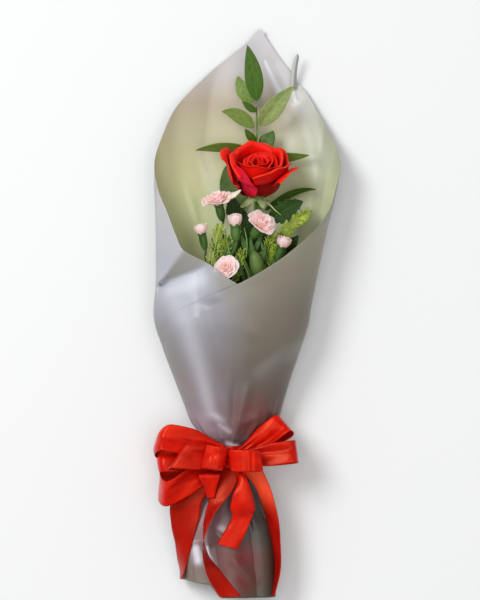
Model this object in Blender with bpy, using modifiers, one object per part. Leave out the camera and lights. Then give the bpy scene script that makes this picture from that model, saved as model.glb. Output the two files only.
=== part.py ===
"""Single red rose bouquet, lying on its back: rose, pink spray carnations, ruscus and goldenrod,
rolled in one square sheet of frosted film and tied at the neck with a satin ribbon bow.

Frame: +Y runs along the stems towards the tip of the wrap, +X to the right, +Z up from the
surface that the bouquet lies on. Metres. The origin is under the middle of the bouquet.
"""
import bisect
import math

import bmesh
import bpy
from mathutils import Vector

# ---------------------------------------------------------------- driving dimensions (mm)
FILM_T = 0.8              # sheet thickness as modelled (the real film is about 0.05)
FILM_SPIRAL = 0.42        # outward drift of the rolled sheet, per radian
RIBBON_W = 24.0           # satin ribbon width
RIBBON_T = 0.7
PETAL_T = 0.6
LEAF_T = 0.8
NECK = (-17.4, -147.7, 18.5)     # centre of the tied neck
KNOT = (-17.4, -160.0, 54.0)     # centre of the bow knot
ROSE_BASE = (16.0, 122.0, 26.0)  # top of the rose receptacle
ROSE_TILT = 33.0                 # degrees that the bloom faces up from the stem line
SHIFT = (0.775, 0.455, 0.0)          # puts the origin under the middle of the box

MM = 0.001


# ---------------------------------------------------------------- small helpers
def smooth(t):
    t = min(max(t, 0.0), 1.0)
    return t * t * (3 - 2 * t)


def curve_1d(table):
    """Monotone cubic through (x, value) pairs: no overshoot between the stations."""
    xs = [float(p[0]) for p in table]
    ys = [float(p[1]) for p in table]
    n = len(xs)
    d = [(ys[i + 1] - ys[i]) / (xs[i + 1] - xs[i]) for i in range(n - 1)]
    m = [d[0]] + [0.0 if d[i - 1] * d[i] <= 0 else 2 * d[i - 1] * d[i] / (d[i - 1] + d[i]) for i in range(1, n - 1)] + [d[-1]]

    def at(x):
        if x <= xs[0]:
            return ys[0]
        if x >= xs[-1]:
            return ys[-1]
        i = bisect.bisect_right(xs, x) - 1
        h = xs[i + 1] - xs[i]
        t = (x - xs[i]) / h
        return (
            (2 * t**3 - 3 * t**2 + 1) * ys[i]
            + (t**3 - 2 * t**2 + t) * h * m[i]
            + (-2 * t**3 + 3 * t**2) * ys[i + 1]
            + (t**3 - t**2) * h * m[i + 1]
        )

    return at


def spline(points, t):
    """Catmull-Rom through the points, t from 0 to 1. Points may have any number of values."""
    n = len(points) - 1
    f = min(max(t, 0.0), 1.0) * n
    i = min(int(f), n - 1)
    f -= i
    p1, p2 = points[i], points[i + 1]
    p0 = points[i - 1] if i > 0 else [2 * a - b for a, b in zip(p1, p2)]
    p3 = points[i + 2] if i + 2 <= n else [2 * b - a for a, b in zip(p1, p2)]
    return [
        0.5 * (2 * b + (c - a) * f + (2 * a - 5 * b + 4 * c - d) * f * f + (3 * b - a - 3 * c + d) * f**3)
        for a, b, c, d in zip(p0, p1, p2, p3)
    ]


def place(p):
    return Vector(((p[0] + SHIFT[0]) * MM, (p[1] + SHIFT[1]) * MM, (p[2] + SHIFT[2]) * MM))


MATERIALS = {}


def material(name, colour, roughness, metallic=0.0, alpha=1.0):
    if name not in MATERIALS:
        m = bpy.data.materials.new(name)
        m.use_nodes = True
        b = m.node_tree.nodes["Principled BSDF"]
        b.inputs["Base Color"].default_value = (*colour, 1.0)
        b.inputs["Roughness"].default_value = roughness
        b.inputs["Metallic"].default_value = metallic
        b.inputs["Alpha"].default_value = alpha
        MATERIALS[name] = m
    return MATERIALS[name]


PARTS = bpy.data.collections.new("rose_bouquet")


def clear_scene():
    for o in list(bpy.data.objects):
        bpy.data.objects.remove(o, do_unlink=True)
    bpy.context.scene.collection.children.link(PARTS)


def add_object(name, data, mat):
    o = bpy.data.objects.new(name, data)
    PARTS.objects.link(o)
    data.materials.append(mat)
    return o


def sheet(name, nu, nv, at, thickness, mat, closed=False):
    """A grid primitive laid over the surface at(u, v), u and v from 0 to 1, then thickened."""
    bm = bmesh.new()
    bmesh.ops.create_grid(bm, x_segments=nu, y_segments=nv, size=0.5)
    for v in bm.verts:
        v.co = place(at(min(max(v.co.x + 0.5, 0.0), 1.0), min(max(v.co.y + 0.5, 0.0), 1.0)))
    if closed:
        bmesh.ops.remove_doubles(bm, verts=bm.verts, dist=0.00002)
    mesh = bpy.data.meshes.new(name)
    bm.to_mesh(mesh)
    bm.free()
    mesh.shade_smooth()
    o = add_object(name, mesh, mat)
    s = o.modifiers.new("thickness", "SOLIDIFY")
    s.thickness = thickness * MM
    s.offset = 0.0
    return o


def tube(name, points, mat, sides=1, steps=None):
    """A curve with round bevel through (x, y, z, radius) points, ends capped."""
    c = bpy.data.curves.new(name, "CURVE")
    c.dimensions = "3D"
    c.bevel_depth = MM
    c.bevel_resolution = sides
    c.use_fill_caps = True
    n = steps or (len(points) - 1) * 3
    s = c.splines.new("POLY")
    s.points.add(n)
    for i in range(n + 1):
        p = spline(points, i / n)
        s.points[i].co = (*place(p), 1.0)
        s.points[i].radius = max(p[3], 0.3)
    return add_object(name, c, mat)


# ---------------------------------------------------------------- the rolled sheet of film
# stations along Y: half width, half depth, middle x, middle z
HALF_W = curve_1d([(-320, 51), (-270, 51), (-236, 49), (-204, 41), (-178, 26), (-160, 15), (-150, 13.2), (-144, 13.4),
                   (-137, 22), (-126, 38), (-117, 47), (-100, 53.4), (-74, 62.7), (-39, 75.2), (-6, 85), (30, 87.2),
                   (68, 91), (118, 96.5), (161, 100.3), (220, 101.5), (320, 101.5)])
HALF_D = curve_1d([(-320, 24), (-270, 25), (-236, 24), (-204, 20), (-178, 16), (-160, 13.6), (-150, 13.2), (-144, 13.4),
                   (-137, 18), (-117, 26), (-74, 34), (-39, 40), (-6, 44), (68, 47), (161, 50), (320, 50)])
MID_X = curve_1d([(-320, -19.6), (-236, -19.6), (-178, -18), (-147.7, -17.4), (-117, -15.3), (-74, -16.9), (-39, -17.4),
                  (-6, -17.4), (30, -13.1), (68, -9.3), (118, -4.9), (161, -1.1), (220, 5), (312, 16.4)])
MID_Z = curve_1d([(-320, 21), (-236, 20.5), (-204, 18.5), (-170, 18.5), (-147.7, 18.5), (-137, 20), (-117, 23.5), (-74, 29),
                  (-39, 35), (-6, 39), (68, 42), (161, 45), (240, 47), (320, 58)])
# where the two free edges of the sheet lie, as degrees round from the back
LEFT_EDGE = curve_1d([(-320, -215), (-178, -228), (-147, -235), (-30, -225), (13.6, -200), (30, -183), (37.6, -175), (53, -161.5),
                      (68, -136.5), (112, -126), (139, -118), (155, -90), (170.6, -81), (188, -73), (205.5, -66), (223, -57),
                      (240, -46.1), (275, -22.8), (301, -7.4), (310, -1.6)])
RIGHT_EDGE = curve_1d([(-320, 222), (-178, 232), (-147, 240), (-19, 228), (8, 208.7), (31, 178), (50.7, 156.7), (76.8, 133.8),
                       (98.6, 114.8), (118, 100), (157.5, 90), (170.6, 75.4), (188, 63.1), (205.5, 51.7), (223, 42.6),
                       (235, 37), (249, 26.9), (266.5, 17.2), (292.6, 7.4), (301, 3), (310, 1.6)])
FILM_ROWS = [-311, -274, -236, -214, -196, -180, -168, -158, -150, -143, -136, -128, -114, -92, -56, -18, 8, 28, 46,
             66, 92, 122, 144, 160, 176, 196, 220, 248, 280, 310]


def film_at(y, degrees, out=0.0):
    """A point on the sheet: y along the bouquet, degrees round from the back, to the right."""
    p = math.radians(degrees)
    drift = FILM_SPIRAL * p + out
    x = MID_X(y) + (HALF_W(y) + drift) * math.sin(p)
    z = MID_Z(y) - (HALF_D(y) + drift) * math.cos(p)
    z = max(z, 0.5 * FILM_T)       # flat where it lies on the surface
    slant = smooth((-236 - y) / 75.0) * 17.0 * smooth((MID_X(y) - x) / 60.0)
    return (x, y + slant, z)


def film_sheet(u, v):
    f = v * (len(FILM_ROWS) - 1)
    i = min(int(f + 1e-6), len(FILM_ROWS) - 2)
    y = FILM_ROWS[i] + (FILM_ROWS[i + 1] - FILM_ROWS[i]) * (f - i)
    return film_at(y, LEFT_EDGE(y) + (RIGHT_EDGE(y) - LEFT_EDGE(y)) * u)


# ---------------------------------------------------------------- ribbon
def unit(v):
    return Vector(v).normalized()


def bow_loop(name, start, direction, length, opening, opens_to, pinch, mat):
    """One loop of ribbon: out along direction and back, open towards opens_to, gathered at the knot."""
    d = unit(direction)
    o = Vector(opens_to)
    o = (o - d * o.dot(d)).normalized()
    w = d.cross(o)

    def at(u, v):
        s = math.sin(math.pi * u)
        c = math.cos(math.pi * u)
        along = length * s**0.85 if s > 0 else 0.0
        rise = opening * c * s**0.9 + 1.1 * c if s > 0 else 1.1 * c
        wide = RIBBON_W * (pinch + (1 - pinch) * smooth(along / (0.5 * length)))
        return Vector(start) + d * along + o * rise + w * (wide * (v - 0.5))

    return sheet(name, 16, 1, at, RIBBON_T, mat)


def ribbon_tail(name, stations, mat, steps=16):
    """A ribbon through stations (x, y, z, turn, width): turn is the roll of its flat side about Y."""

    def at(u, v):
        x, y, z, turn, wide = spline(stations, u)
        ahead, behind = spline(stations, min(u + 0.01, 1)), spline(stations, max(u - 0.01, 0))
        t = (Vector(ahead[:3]) - Vector(behind[:3])).normalized()
        side = t.cross(Vector((math.sin(math.radians(turn)), 0, math.cos(math.radians(turn))))).normalized()
        return Vector((x, y, z)) + side * (wide * (v - 0.5))

    return sheet(name, steps, 1, at, RIBBON_T, mat)


# ---------------------------------------------------------------- leaves
def leaf(name, base, tip, width, mat, bulge=(0, 0, 0), normal=(0, 0, 1), fold=0.12, steps=7, shape=0.75, across=2):
    """A leaf blade from base to tip, widest before the middle, folded a little along its midrib."""
    b, e = Vector(base), Vector(tip)
    mid = (b + e) / 2 + Vector(bulge)

    def at(u, v):
        c = b * (1 - u) ** 2 + mid * 2 * u * (1 - u) + e * u**2
        t = ((mid - b) * (1 - u) + (e - mid) * u).normalized()
        n = Vector(normal)
        n = (n - t * n.dot(t)).normalized()
        s = n.cross(t)
        half = 0.5 * width * max(math.sin(math.pi * min(max(u, 0.0), 1.0) ** shape), 0.0) ** 0.85 + 0.45
        k = 2 * v - 1
        return c + s * (half * k) + n * (fold * half * abs(k))

    return sheet(name, steps, across, at, LEAF_T, mat)


# ---------------------------------------------------------------- rose
def rose_frame():
    t = math.radians(ROSE_TILT)
    axis = unit((-0.06, math.cos(t), math.sin(t)))
    right = Vector((1, 0, 0))
    right = (right - axis * right.dot(axis)).normalized()
    return right, axis.cross(right), axis


def rose_point(rho, theta, h):
    e1, e2, e3 = rose_frame()
    return Vector(ROSE_BASE) + e1 * (rho * math.cos(theta)) + e2 * (rho * math.sin(theta)) + e3 * h


def petal_ring(prefix, count, turn, rho, height, cover, step, mat, steps=5):
    """Petals that overlap like a pinwheel: each one's leading edge lies outside the next."""
    for i in range(count):
        middle = math.radians(turn + 360.0 * i / count)

        def at(u, v, middle=middle):
            k = 2 * u - 1
            s = v * (1 - 0.10 * k**4)
            half = math.radians(cover) * (0.62 + 0.38 * smooth(v / 0.35))
            th = middle + k * half
            lag = step(v) * (k * half) / math.radians(360.0 / count)
            dr, dh = rho(s + 0.02) - rho(s - 0.02), height(s + 0.02) - height(s - 0.02)
            size = math.hypot(dr, dh) or 1.0
            return rose_point(rho(s) + lag * dh / size, th, height(s) - lag * dr / size)

        sheet(f"{prefix}_{i + 1}", 6, steps, at, PETAL_T, mat)


def blob(name, centre, axes, at, mat, rings=8, segments=12):
    """A closed soft form: a sphere primitive reshaped by at(polar share, azimuth)."""
    bm = bmesh.new()
    bmesh.ops.create_uvsphere(bm, u_segments=segments, v_segments=rings, radius=1.0)
    e1, e2, e3 = axes
    for v in bm.verts:
        polar = math.acos(max(-1.0, min(1.0, v.co.z))) / math.pi      # 0 at the top
        rho, h = at(polar, math.atan2(v.co.y, v.co.x))
        r = math.hypot(v.co.x, v.co.y)
        c, s = (v.co.x / r, v.co.y / r) if r > 1e-6 else (1.0, 0.0)
        v.co = place(Vector(centre) + e1 * (rho * c) + e2 * (rho * s) + e3 * h)
    mesh = bpy.data.meshes.new(name)
    bm.to_mesh(mesh)
    bm.free()
    mesh.shade_smooth()
    return add_object(name, mesh, mat)


def axes_for(direction):
    e3 = unit(direction)
    e1 = Vector((1, 0, 0)) if abs(e3.x) < 0.8 else Vector((0, 0, 1))
    e1 = (e1 - e3 * e1.dot(e3)).normalized()
    return e1, e3.cross(e1), e3


# ---------------------------------------------------------------- carnations
def carnation(n, centre, direction, radius, depth, stalk, ruffles, petal_mat, green):
    """An open or half open flower: ruffled petals on a tubular calyx with its own stalk."""
    axes = axes_for(direction)
    e3 = axes[2]
    mouth = 3.4 if radius > 9 else 2.8
    rho = curve_1d([(0, 0.0), (0.22, 0.62 * radius), (0.42, 0.97 * radius), (0.5, radius), (0.62, 0.84 * radius),
                    (0.82, 0.5 * radius), (0.94, mouth), (1.0, 0.0)])
    high = curve_1d([(0, 0.55 * depth), (0.22, 0.52 * depth), (0.42, 0.33 * depth), (0.5, 0.12 * depth), (0.62, -0.1 * depth),
                     (0.82, -0.38 * depth), (0.94, -0.5 * depth), (1.0, -0.5 * depth)])

    def at(polar, az):
        edge = smooth(1 - abs(polar - 0.47) / 0.3)
        return (rho(polar) * (1 + 0.07 * edge * math.cos(ruffles * az)), high(polar) + 0.10 * depth * edge * math.sin(ruffles * az))

    blob(f"carnation_{n}_petals", centre, axes, at, petal_mat, rings=7, segments=14)
    top = Vector(centre) - e3 * (0.5 * depth + 0.4)
    low = top - e3 * 15.0
    k = mouth + 0.6
    pts = [(*p, 1.0) for p in stalk] + [(*(low - e3 * 3), 1.3), (*low, k * 0.82), (*(top - e3 * 8), k), (*top, k * 0.95)]
    tube(f"carnation_{n}_stalk", pts, green, steps=10)


# ---------------------------------------------------------------- everything
def main():
    clear_scene()
    film = material("frosted_film", (0.62, 0.61, 0.62), 0.35, alpha=0.6)
    satin = material("red_satin", (0.78, 0.035, 0.012), 0.38)
    red = material("rose_petal", (0.72, 0.012, 0.012), 0.5)
    red_in = material("rose_heart", (0.55, 0.006, 0.008), 0.55)
    green = material("stem_green", (0.13, 0.24, 0.05), 0.5)
    sepal = material("sepal_green", (0.30, 0.42, 0.16), 0.5)
    ruscus = material("ruscus_leaf", (0.075, 0.19, 0.025), 0.35)
    dark = material("rose_leaf", (0.022, 0.075, 0.02), 0.4)
    pink = material("carnation_petal", (0.86, 0.50, 0.46), 0.6)
    calyx = material("carnation_calyx", (0.17, 0.30, 0.08), 0.5)
    gold = material("goldenrod", (0.42, 0.50, 0.06), 0.7)
    twine = material("twine", (0.45, 0.33, 0.18), 0.9)

    # wrap
    sheet("film_wrap", 24, len(FILM_ROWS) - 1, film_sheet, FILM_T, film)

    # stems, from their cut ends through the neck to the heads
    nx, ny, nz = NECK
    ring = [(nx + 5.7 * math.cos(math.radians(a)), nz + 5.7 * math.sin(math.radians(a))) for a in (270, 198, 126, 54, 342)]

    def stem(name, slot, foot, upper, r, mat, steps=18, sides=1):
        x, z = slot
        cut = (nx + (x - nx) * 2.6 + foot, -287, nz + (z - nz) * 1.35 - 1.0, r)
        tube(name, [cut, (x, ny - 14, z, r), (x, ny, z, r), (x, ny + 14, z, r)] + upper, mat, sides, steps)

    e1, e2, e3 = rose_frame()
    top = Vector(ROSE_BASE)
    stem("rose_stem", (nx, nz), 1, [(-8, -60, 24, 2.5), (6, 40, 20, 2.5), (*(top - e3 * 22), 2.6), (*(top - e3 * 11), 3.4),
                                    (*(top - e3 * 5.5), 7.6), (*(top - e3 * 0.4), 9.6)], 2.6, green, steps=24, sides=2)
    stem("ruscus_stem", ring[0], 3, [(-6, -60, 11, 1.6), (6, 40, 8.5, 1.6), (9, 110, 7.2, 1.5), (9.5, 160, 10.5, 1.4), (11, 200, 20, 1.2),
                                     (10.2, 226, 27, 1.0)], 1.8, green, steps=24)
    stem("spray_stem_1", ring[1], -4, [(-30, -60, 24, 1.7), (-32, 20, 34, 1.5), (-30, 70, 40, 1.2)], 1.9, green)
    stem("spray_stem_2", ring[3], 3, [(0, -60, 38, 1.7), (8, -10, 46, 1.6), (12, 30, 50, 1.3)], 1.9, green)

    # twine round the stems, inside the film
    bpy.ops.mesh.primitive_torus_add(major_radius=9.0 * MM, minor_radius=0.95 * MM, major_segments=18, minor_segments=5,
                                     location=place((nx, ny, nz)), rotation=(math.radians(90), 0, 0))
    tie = bpy.context.object
    tie.name = tie.data.name = "stem_tie"
    for c in list(tie.users_collection):
        c.objects.unlink(tie)
    PARTS.objects.link(tie)
    tie.data.materials.append(twine)

    # rose
    core_rho = curve_1d([(0, 0.0), (0.12, 6.5), (0.3, 11.6), (0.5, 13.6), (0.75, 10.4), (0.95, 3.6), (1.0, 0.0)])
    core_h = curve_1d([(0, 52), (0.12, 52), (0.3, 47), (0.5, 33), (0.75, 13), (0.95, 1.4), (1.0, 0.9)])
    blob("rose_heart", ROSE_BASE, (e1, e2, e3), lambda p, a: (core_rho(p) * (1 + 0.06 * math.cos(3 * a) * (1 - p)), core_h(p)),
         red_in, rings=9, segments=14)
    petal_ring("rose_inner_petal", 4, 20, curve_1d([(0, 6.6), (0.25, 16.0), (0.5, 19.4), (0.75, 20.0), (0.9, 20.8), (1, 22.4)]),
               curve_1d([(0, 1.0), (0.25, 14), (0.5, 29), (0.75, 44), (0.9, 52), (1, 56)]), 66,
               curve_1d([(0, 1.0), (0.3, 1.5), (1, 1.7)]), red)
    petal_ring("rose_outer_petal", 5, 54, curve_1d([(0, 10.1), (0.2, 21.2), (0.45, 26.2), (0.68, 27.6), (0.84, 30.6), (1, 38)]),
               curve_1d([(0, 0.8), (0.2, 9.5), (0.45, 25.5), (0.68, 41), (0.84, 49), (1, 50.5)]), 52,
               curve_1d([(0, 1.0), (0.3, 1.9), (1, 3.2)]), red, steps=6)

    def sepals(u, v):
        th = 2 * math.pi * u
        lobe = abs(math.cos(2.5 * th)) ** 2.2
        reach = 1.5 + 11.5 * lobe * v
        return rose_point(10.9 + reach * v, th, -1.6 - 0.9 * v - 6.5 * lobe * v * v)

    sheet("rose_sepals", 30, 3, sepals, 0.6, sepal, closed=True)

    # ruscus and rose leaves
    for name, base, tip, width, kw in (
        ("ruscus_leaf_1", (10.2, 231.5, 29), (0, 291.5, 40), 20, dict(bulge=(1, 0, 5))),
        ("ruscus_leaf_2", (5.6, 229.5, 23), (-10, 259, 17), 15, dict(bulge=(-5, 0, 3))),
        ("ruscus_leaf_3", (14.5, 204, 26), (51.2, 246.5, 44), 21, dict(bulge=(-4, 2, 6), normal=(0.35, -0.2, 1), fold=0.3)),
        ("ruscus_leaf_4", (7.6, 202, 25), (-27.3, 217.5, 33), 14, dict(bulge=(2, 6, 3), normal=(0, -0.3, 1))),
        ("ruscus_leaf_5", (9.8, 219.5, 31.5), (-5, 230.5, 36), 8, dict(bulge=(0, -1, 1), normal=(0, -0.6, 1))),
        ("ruscus_leaf_6", (9.0, 186.5, 24), (-2, 200.5, 31), 9, dict(bulge=(0, -1, 1), normal=(0, -0.8, 1))),
        ("ruscus_leaf_7", (13.6, 181, 16.6), (29, 199, 18), 16, dict(bulge=(3, -2, 0))),
        ("ruscus_leaf_8", (6.5, 172, 14.5), (-54.5, 175, 26), 17, dict(bulge=(0, 9, 2), normal=(0, -0.7, 0.7))),
        ("ruscus_leaf_9", (11.8, 166, 10.5), (67.6, 171.7, 33), 13, dict(bulge=(6, 2, -6), normal=(0, -0.6, 0.8))),
        ("ruscus_leaf_10", (23, 100, 10.0), (75.2, 132, 32), 12, dict(bulge=(3, 14, -5), normal=(0, -0.5, 0.9))),
    ):
        leaf(name, base, tip, width, ruscus, **kw)
    for name, base, tip, width, kw in (
        ("rose_leaf_1", (-4, 112, 5.2), (-22, 160, 6.4), 30, dict(bulge=(-5, 0, 0), shape=0.85)),
        ("rose_leaf_2", (29, 100, 37), (60, 114, 44), 22, dict(bulge=(0, 3, 3), normal=(0, -0.1, 1), shape=0.85)),
        ("rose_leaf_3", (-12, 97, 27), (-17, 126, 31.5), 15, dict(bulge=(0, 0, 2), shape=0.85)),
    ):
        leaf(name, base, tip, width, dark, **kw)

    # pink spray carnations, each stalk branching from a spray stem
    carnation(1, (-33, 121, 46), (-0.22, 0.95, 0.22), 18.5, 15, [(-34.5, 70, 43)], 7, pink, calyx)
    carnation(2, (16.5, 96, 66), (0.42, 0.68, 0.6), 17, 14, [(13, 33, 45.5), (9, 58, 47)], 7, pink, calyx)
    carnation(3, (-12.5, 101, 60), (-0.05, 0.97, 0.2), 8.2, 13, [(-26.5, 45, 42), (-17, 62, 50)], 5, pink, calyx)
    carnation(4, (-50, 90, 50), (-0.2, 0.95, 0.15), 7.4, 12, [(-37, 38, 36.5), (-45, 58, 42)], 5, pink, calyx)
    carnation(5, (-22, 50, 71), (-0.25, 0.42, 0.87), 14.5, 12, [(-27, 15, 37.5), (-24, 28, 48)], 6, pink, calyx)
    carnation(6, (40.5, 79, 56), (0.3, 0.93, 0.2), 8.5, 12, [(15, 12, 48.5), (27, 40, 50)], 5, pink, calyx)
    carnation(7, (9, 17, 66), (0.1, 0.75, 0.65), 14, 12, [(8.5, -22, 48)], 6, pink, calyx)
    # closed green bud
    tube("carnation_bud", [(14.5, -5, 49.5, 1.0), (22, 22, 56, 1.3), (19, 38, 60, 5.4), (14, 50, 62, 7.4), (11, 62, 64, 5.2), (9.5, 66, 64.6, 1.2)],
         calyx, steps=12)
    # goldenrod plumes with their stems
    stem("goldenrod_1", ring[2], -3, [(-36, -60, 36, 1.4), (-40, 20, 46, 1.6), (-40, 45, 52, 5.0), (-33, 78, 54, 6.0), (-31, 93, 55, 1.6)],
         1.6, gold, steps=26)
    stem("goldenrod_2", ring[4], 4, [(12, -60, 32, 1.4), (30, 20, 36, 1.6), (36, 45, 36, 5.5), (46, 82, 33.5, 5.5), (55, 104, 33, 1.6)],
         1.6, gold, steps=26)

    # ribbon band, knot, loops and tails
    def band(u, v):
        a = 2 * math.pi * u
        return (nx + 17.3 * math.cos(a), ny - 5 + 12 * (v - 0.5), nz + 16.9 * math.sin(a))

    sheet("neck_band", 28, 1, band, RIBBON_T, satin, closed=True)
    kx, ky, kz = KNOT
    knot_r = curve_1d([(0, 0.0), (0.2, 6.2), (0.5, 8.2), (0.8, 6.2), (1.0, 0.0)])
    knot_h = curve_1d([(0, 17.0), (0.2, 14.0), (0.5, 0), (0.8, -14.0), (1.0, -17.0)])
    blob("bow_knot", KNOT, axes_for((0, 0, 1)), lambda p, a: (knot_r(p) * (1 + 0.08 * math.cos(4 * a)), knot_h(p)), satin, 7, 12)
    up = (0, 0, 1)
    bow_loop("bow_loop_left_back", (kx - 9.8, ky + 1, 39.5), (-0.94, 0.34, -0.04), 71, 7, up, 0.42, satin)
    bow_loop("bow_loop_left_low", (kx - 9.8, ky - 6, 48), (-0.94, -0.34, 0.02), 68, 7, up, 0.42, satin)
    bow_loop("bow_loop_left_front", (kx - 9.8, ky - 1, 66), (-0.99, -0.02, 0.06), 54, 12, up, 0.45, satin)
    bow_loop("bow_loop_small", (kx - 9.5, ky - 12, 58.5), (-0.45, -0.86, -0.05), 30, 4, up, 0.5, satin)
    bow_loop("bow_loop_right_back", (kx + 9.8, ky + 3, 39.5), (0.88, 0.47, 0.0), 58, 6, up, 0.42, satin)
    bow_loop("bow_loop_right_middle", (kx + 9.8, ky, 52), (0.99, 0.11, 0.08), 61, 8, up, 0.42, satin)
    bow_loop("bow_loop_right_front", (kx + 9.6, ky - 1, 67), (0.97, -0.06, 0.12), 24, 9, up, 0.7, satin)
    ribbon_tail("ribbon_tail_left", [(kx - 9, ky - 13, 39.5, 0, 12), (-52, -196, 40, -24, 24), (-66, -218, 38.5, -36, 30), (-69.5, -250, 34, -50, 26),
                                     (-71, -276, 28, -70, 22), (-72, -290, 24, -76, 16)], satin)
    ribbon_tail("ribbon_tail_centre_left", [(kx - 3, ky - 14, 44, 0, 12), (-40, -205, 53, -10, 21), (-46.5, -240, 58, -80, 20), (-43, -266, 57, -60, 22),
                                            (-34, -288, 53, -25, 22), (-20, -302, 51, 0, 22)], satin)
    ribbon_tail("ribbon_tail_centre_right", [(kx + 4, ky - 13, 52, 0, 14), (-6, -192, 58, 10, 23), (-4, -218, 55, 4, 26), (-12, -236, 50, 0, 24),
                                             (-21, -253, 50, 0, 22)], satin)
    ribbon_tail("ribbon_tail_right", [(kx + 9, ky - 12, 44, 0, 12), (10, -190, 43, 30, 22), (24, -222, 39.5, 46, 22), (32.5, -262, 33, 66, 22),
                                      (30, -307, 32, 68, 22)], satin)


main()
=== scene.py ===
"""Looks for the wrapped rose bouquet: frosted film, satin bow, rose, spray carnations, ruscus and goldenrod."""
import math
import random

import bpy
import numpy as np
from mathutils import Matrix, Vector


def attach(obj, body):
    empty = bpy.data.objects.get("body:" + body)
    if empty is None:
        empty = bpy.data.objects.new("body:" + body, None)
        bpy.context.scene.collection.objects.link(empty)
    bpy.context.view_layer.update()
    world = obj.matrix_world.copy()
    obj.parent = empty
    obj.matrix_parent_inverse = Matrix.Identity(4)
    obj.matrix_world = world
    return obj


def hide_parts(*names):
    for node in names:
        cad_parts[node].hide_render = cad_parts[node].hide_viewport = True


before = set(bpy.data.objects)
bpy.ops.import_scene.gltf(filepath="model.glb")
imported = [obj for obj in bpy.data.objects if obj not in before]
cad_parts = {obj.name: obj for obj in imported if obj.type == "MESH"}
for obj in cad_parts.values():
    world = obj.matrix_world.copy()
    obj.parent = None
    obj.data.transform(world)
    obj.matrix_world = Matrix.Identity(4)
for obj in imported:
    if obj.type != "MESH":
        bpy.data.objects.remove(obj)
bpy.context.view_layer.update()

MM = 0.001
SHIFT = np.array([0.775, 0.455, 0.0])      # the same shift that the solids have
COLL = bpy.context.scene.collection
PI = math.pi


# ------------------------------------------------------------------ numbers and curves
def smooth(t):
    t = np.clip(t, 0.0, 1.0)
    return t * t * (3 - 2 * t)


def mix(a, b, t):
    return a * (1 - t) + b * t


def curve_1d(table):
    """Monotone cubic through (x, value) pairs, the same rule that the solids use. Takes arrays."""
    xs = np.array([p[0] for p in table], float)
    ys = np.array([p[1] for p in table], float)
    n = len(xs)
    d = np.diff(ys) / np.diff(xs)
    m = np.zeros(n)
    m[0], m[-1] = d[0], d[-1]
    for i in range(1, n - 1):
        m[i] = 0.0 if d[i - 1] * d[i] <= 0 else 2 * d[i - 1] * d[i] / (d[i - 1] + d[i])

    def at(x):
        x = np.asarray(x, float)
        c = np.clip(x, xs[0], xs[-1])
        i = np.clip(np.searchsorted(xs, c, side="right") - 1, 0, n - 2)
        h = xs[i + 1] - xs[i]
        t = (c - xs[i]) / h
        return (
            (2 * t**3 - 3 * t**2 + 1) * ys[i]
            + (t**3 - 2 * t**2 + t) * h * m[i]
            + (-2 * t**3 + 3 * t**2) * ys[i + 1]
            + (t**3 - t**2) * h * m[i + 1]
        )

    return at


def spline(points, t):
    """Catmull-Rom through rows of numbers; t is an array from 0 to 1."""
    p = np.asarray(points, float)
    p = np.vstack([2 * p[0] - p[1], p, 2 * p[-1] - p[-2]])
    n = len(p) - 3
    f = np.clip(np.asarray(t, float), 0, 1) * n
    i = np.minimum(f.astype(int), n - 1)
    f = (f - i)[..., None]
    a, b, c, d = p[i], p[i + 1], p[i + 2], p[i + 3]
    return 0.5 * (2 * b + (c - a) * f + (2 * a - 5 * b + 4 * c - d) * f * f + (3 * b - a - 3 * c + d) * f**3)


def waves(seed, n, lo, hi):
    """A smooth pseudo-random field of two variables: a seeded sum of plane waves, about -1 to 1."""
    r = random.Random(seed)
    parts = []
    for _ in range(n):
        k = r.uniform(lo, hi)
        a = r.uniform(0, 2 * PI)
        parts.append((k * math.cos(a), k * math.sin(a), r.uniform(0, 2 * PI), r.uniform(0.5, 1.0)))
    total = math.sqrt(sum(p[3] ** 2 for p in parts) / 2) * 2.0

    def at(x, y):
        return sum(w * np.sin(a * x + b * y + c) for a, b, c, w in parts) / total

    return at


# ------------------------------------------------------------------ making meshes
def finish_piece(o, mat, nodes, smooth_shade=True):
    o.data.materials.append(mat)
    if smooth_shade:
        o.data.shade_smooth()
    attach(o, "root")
    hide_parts(*nodes)
    return o


def mesh_object(name, verts, faces, uvs=None):
    me = bpy.data.meshes.new(name)
    me.from_pydata([tuple(v) for v in verts], [], faces)
    if uvs is not None:
        layer = me.uv_layers.new(name="UVMap")
        loops = np.empty(len(me.loops), int)
        me.loops.foreach_get("vertex_index", loops)
        layer.data.foreach_set("uv", np.asarray(uvs, float)[loops].astype(np.float32).ravel())
    me.update()
    o = bpy.data.objects.new(name, me)
    COLL.objects.link(o)
    return o


class Builder:
    """Collects grids into one mesh with UVs."""

    def __init__(self):
        self.v, self.f, self.uv, self.n = [], [], [], 0

    def grid(self, P, U, V, wrap=False, flip=False):
        """P is (nu, nv, 3) in mm, before the shift. U and V are (nu, nv)."""
        nu, nv = P.shape[:2]
        self.v.append((P.reshape(-1, 3) + SHIFT) * MM)
        self.uv.append(np.stack([np.broadcast_to(U, (nu, nv)).ravel(), np.broadcast_to(V, (nu, nv)).ravel()], 1))
        for i in range(nu if wrap else nu - 1):
            for j in range(nv - 1):
                a, b = self.n + i * nv + j, self.n + ((i + 1) % nu) * nv + j
                q = (a, b, b + 1, a + 1)
                self.f.append(q[::-1] if flip else q)
        self.n += nu * nv

    def fan(self, centre, ring, uv=(0.5, 0.5), flip=False):
        """Closes a ring of vertex numbers on a centre point."""
        self.v.append((np.asarray([centre], float) + SHIFT) * MM)
        self.uv.append(np.array([uv], float))
        c = self.n
        self.n += 1
        for i in range(len(ring)):
            t = (ring[i], ring[(i + 1) % len(ring)], c)
            self.f.append(t[::-1] if flip else t)

    def object(self, name):
        return mesh_object(name, np.vstack(self.v), self.f, np.vstack(self.uv))


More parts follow.
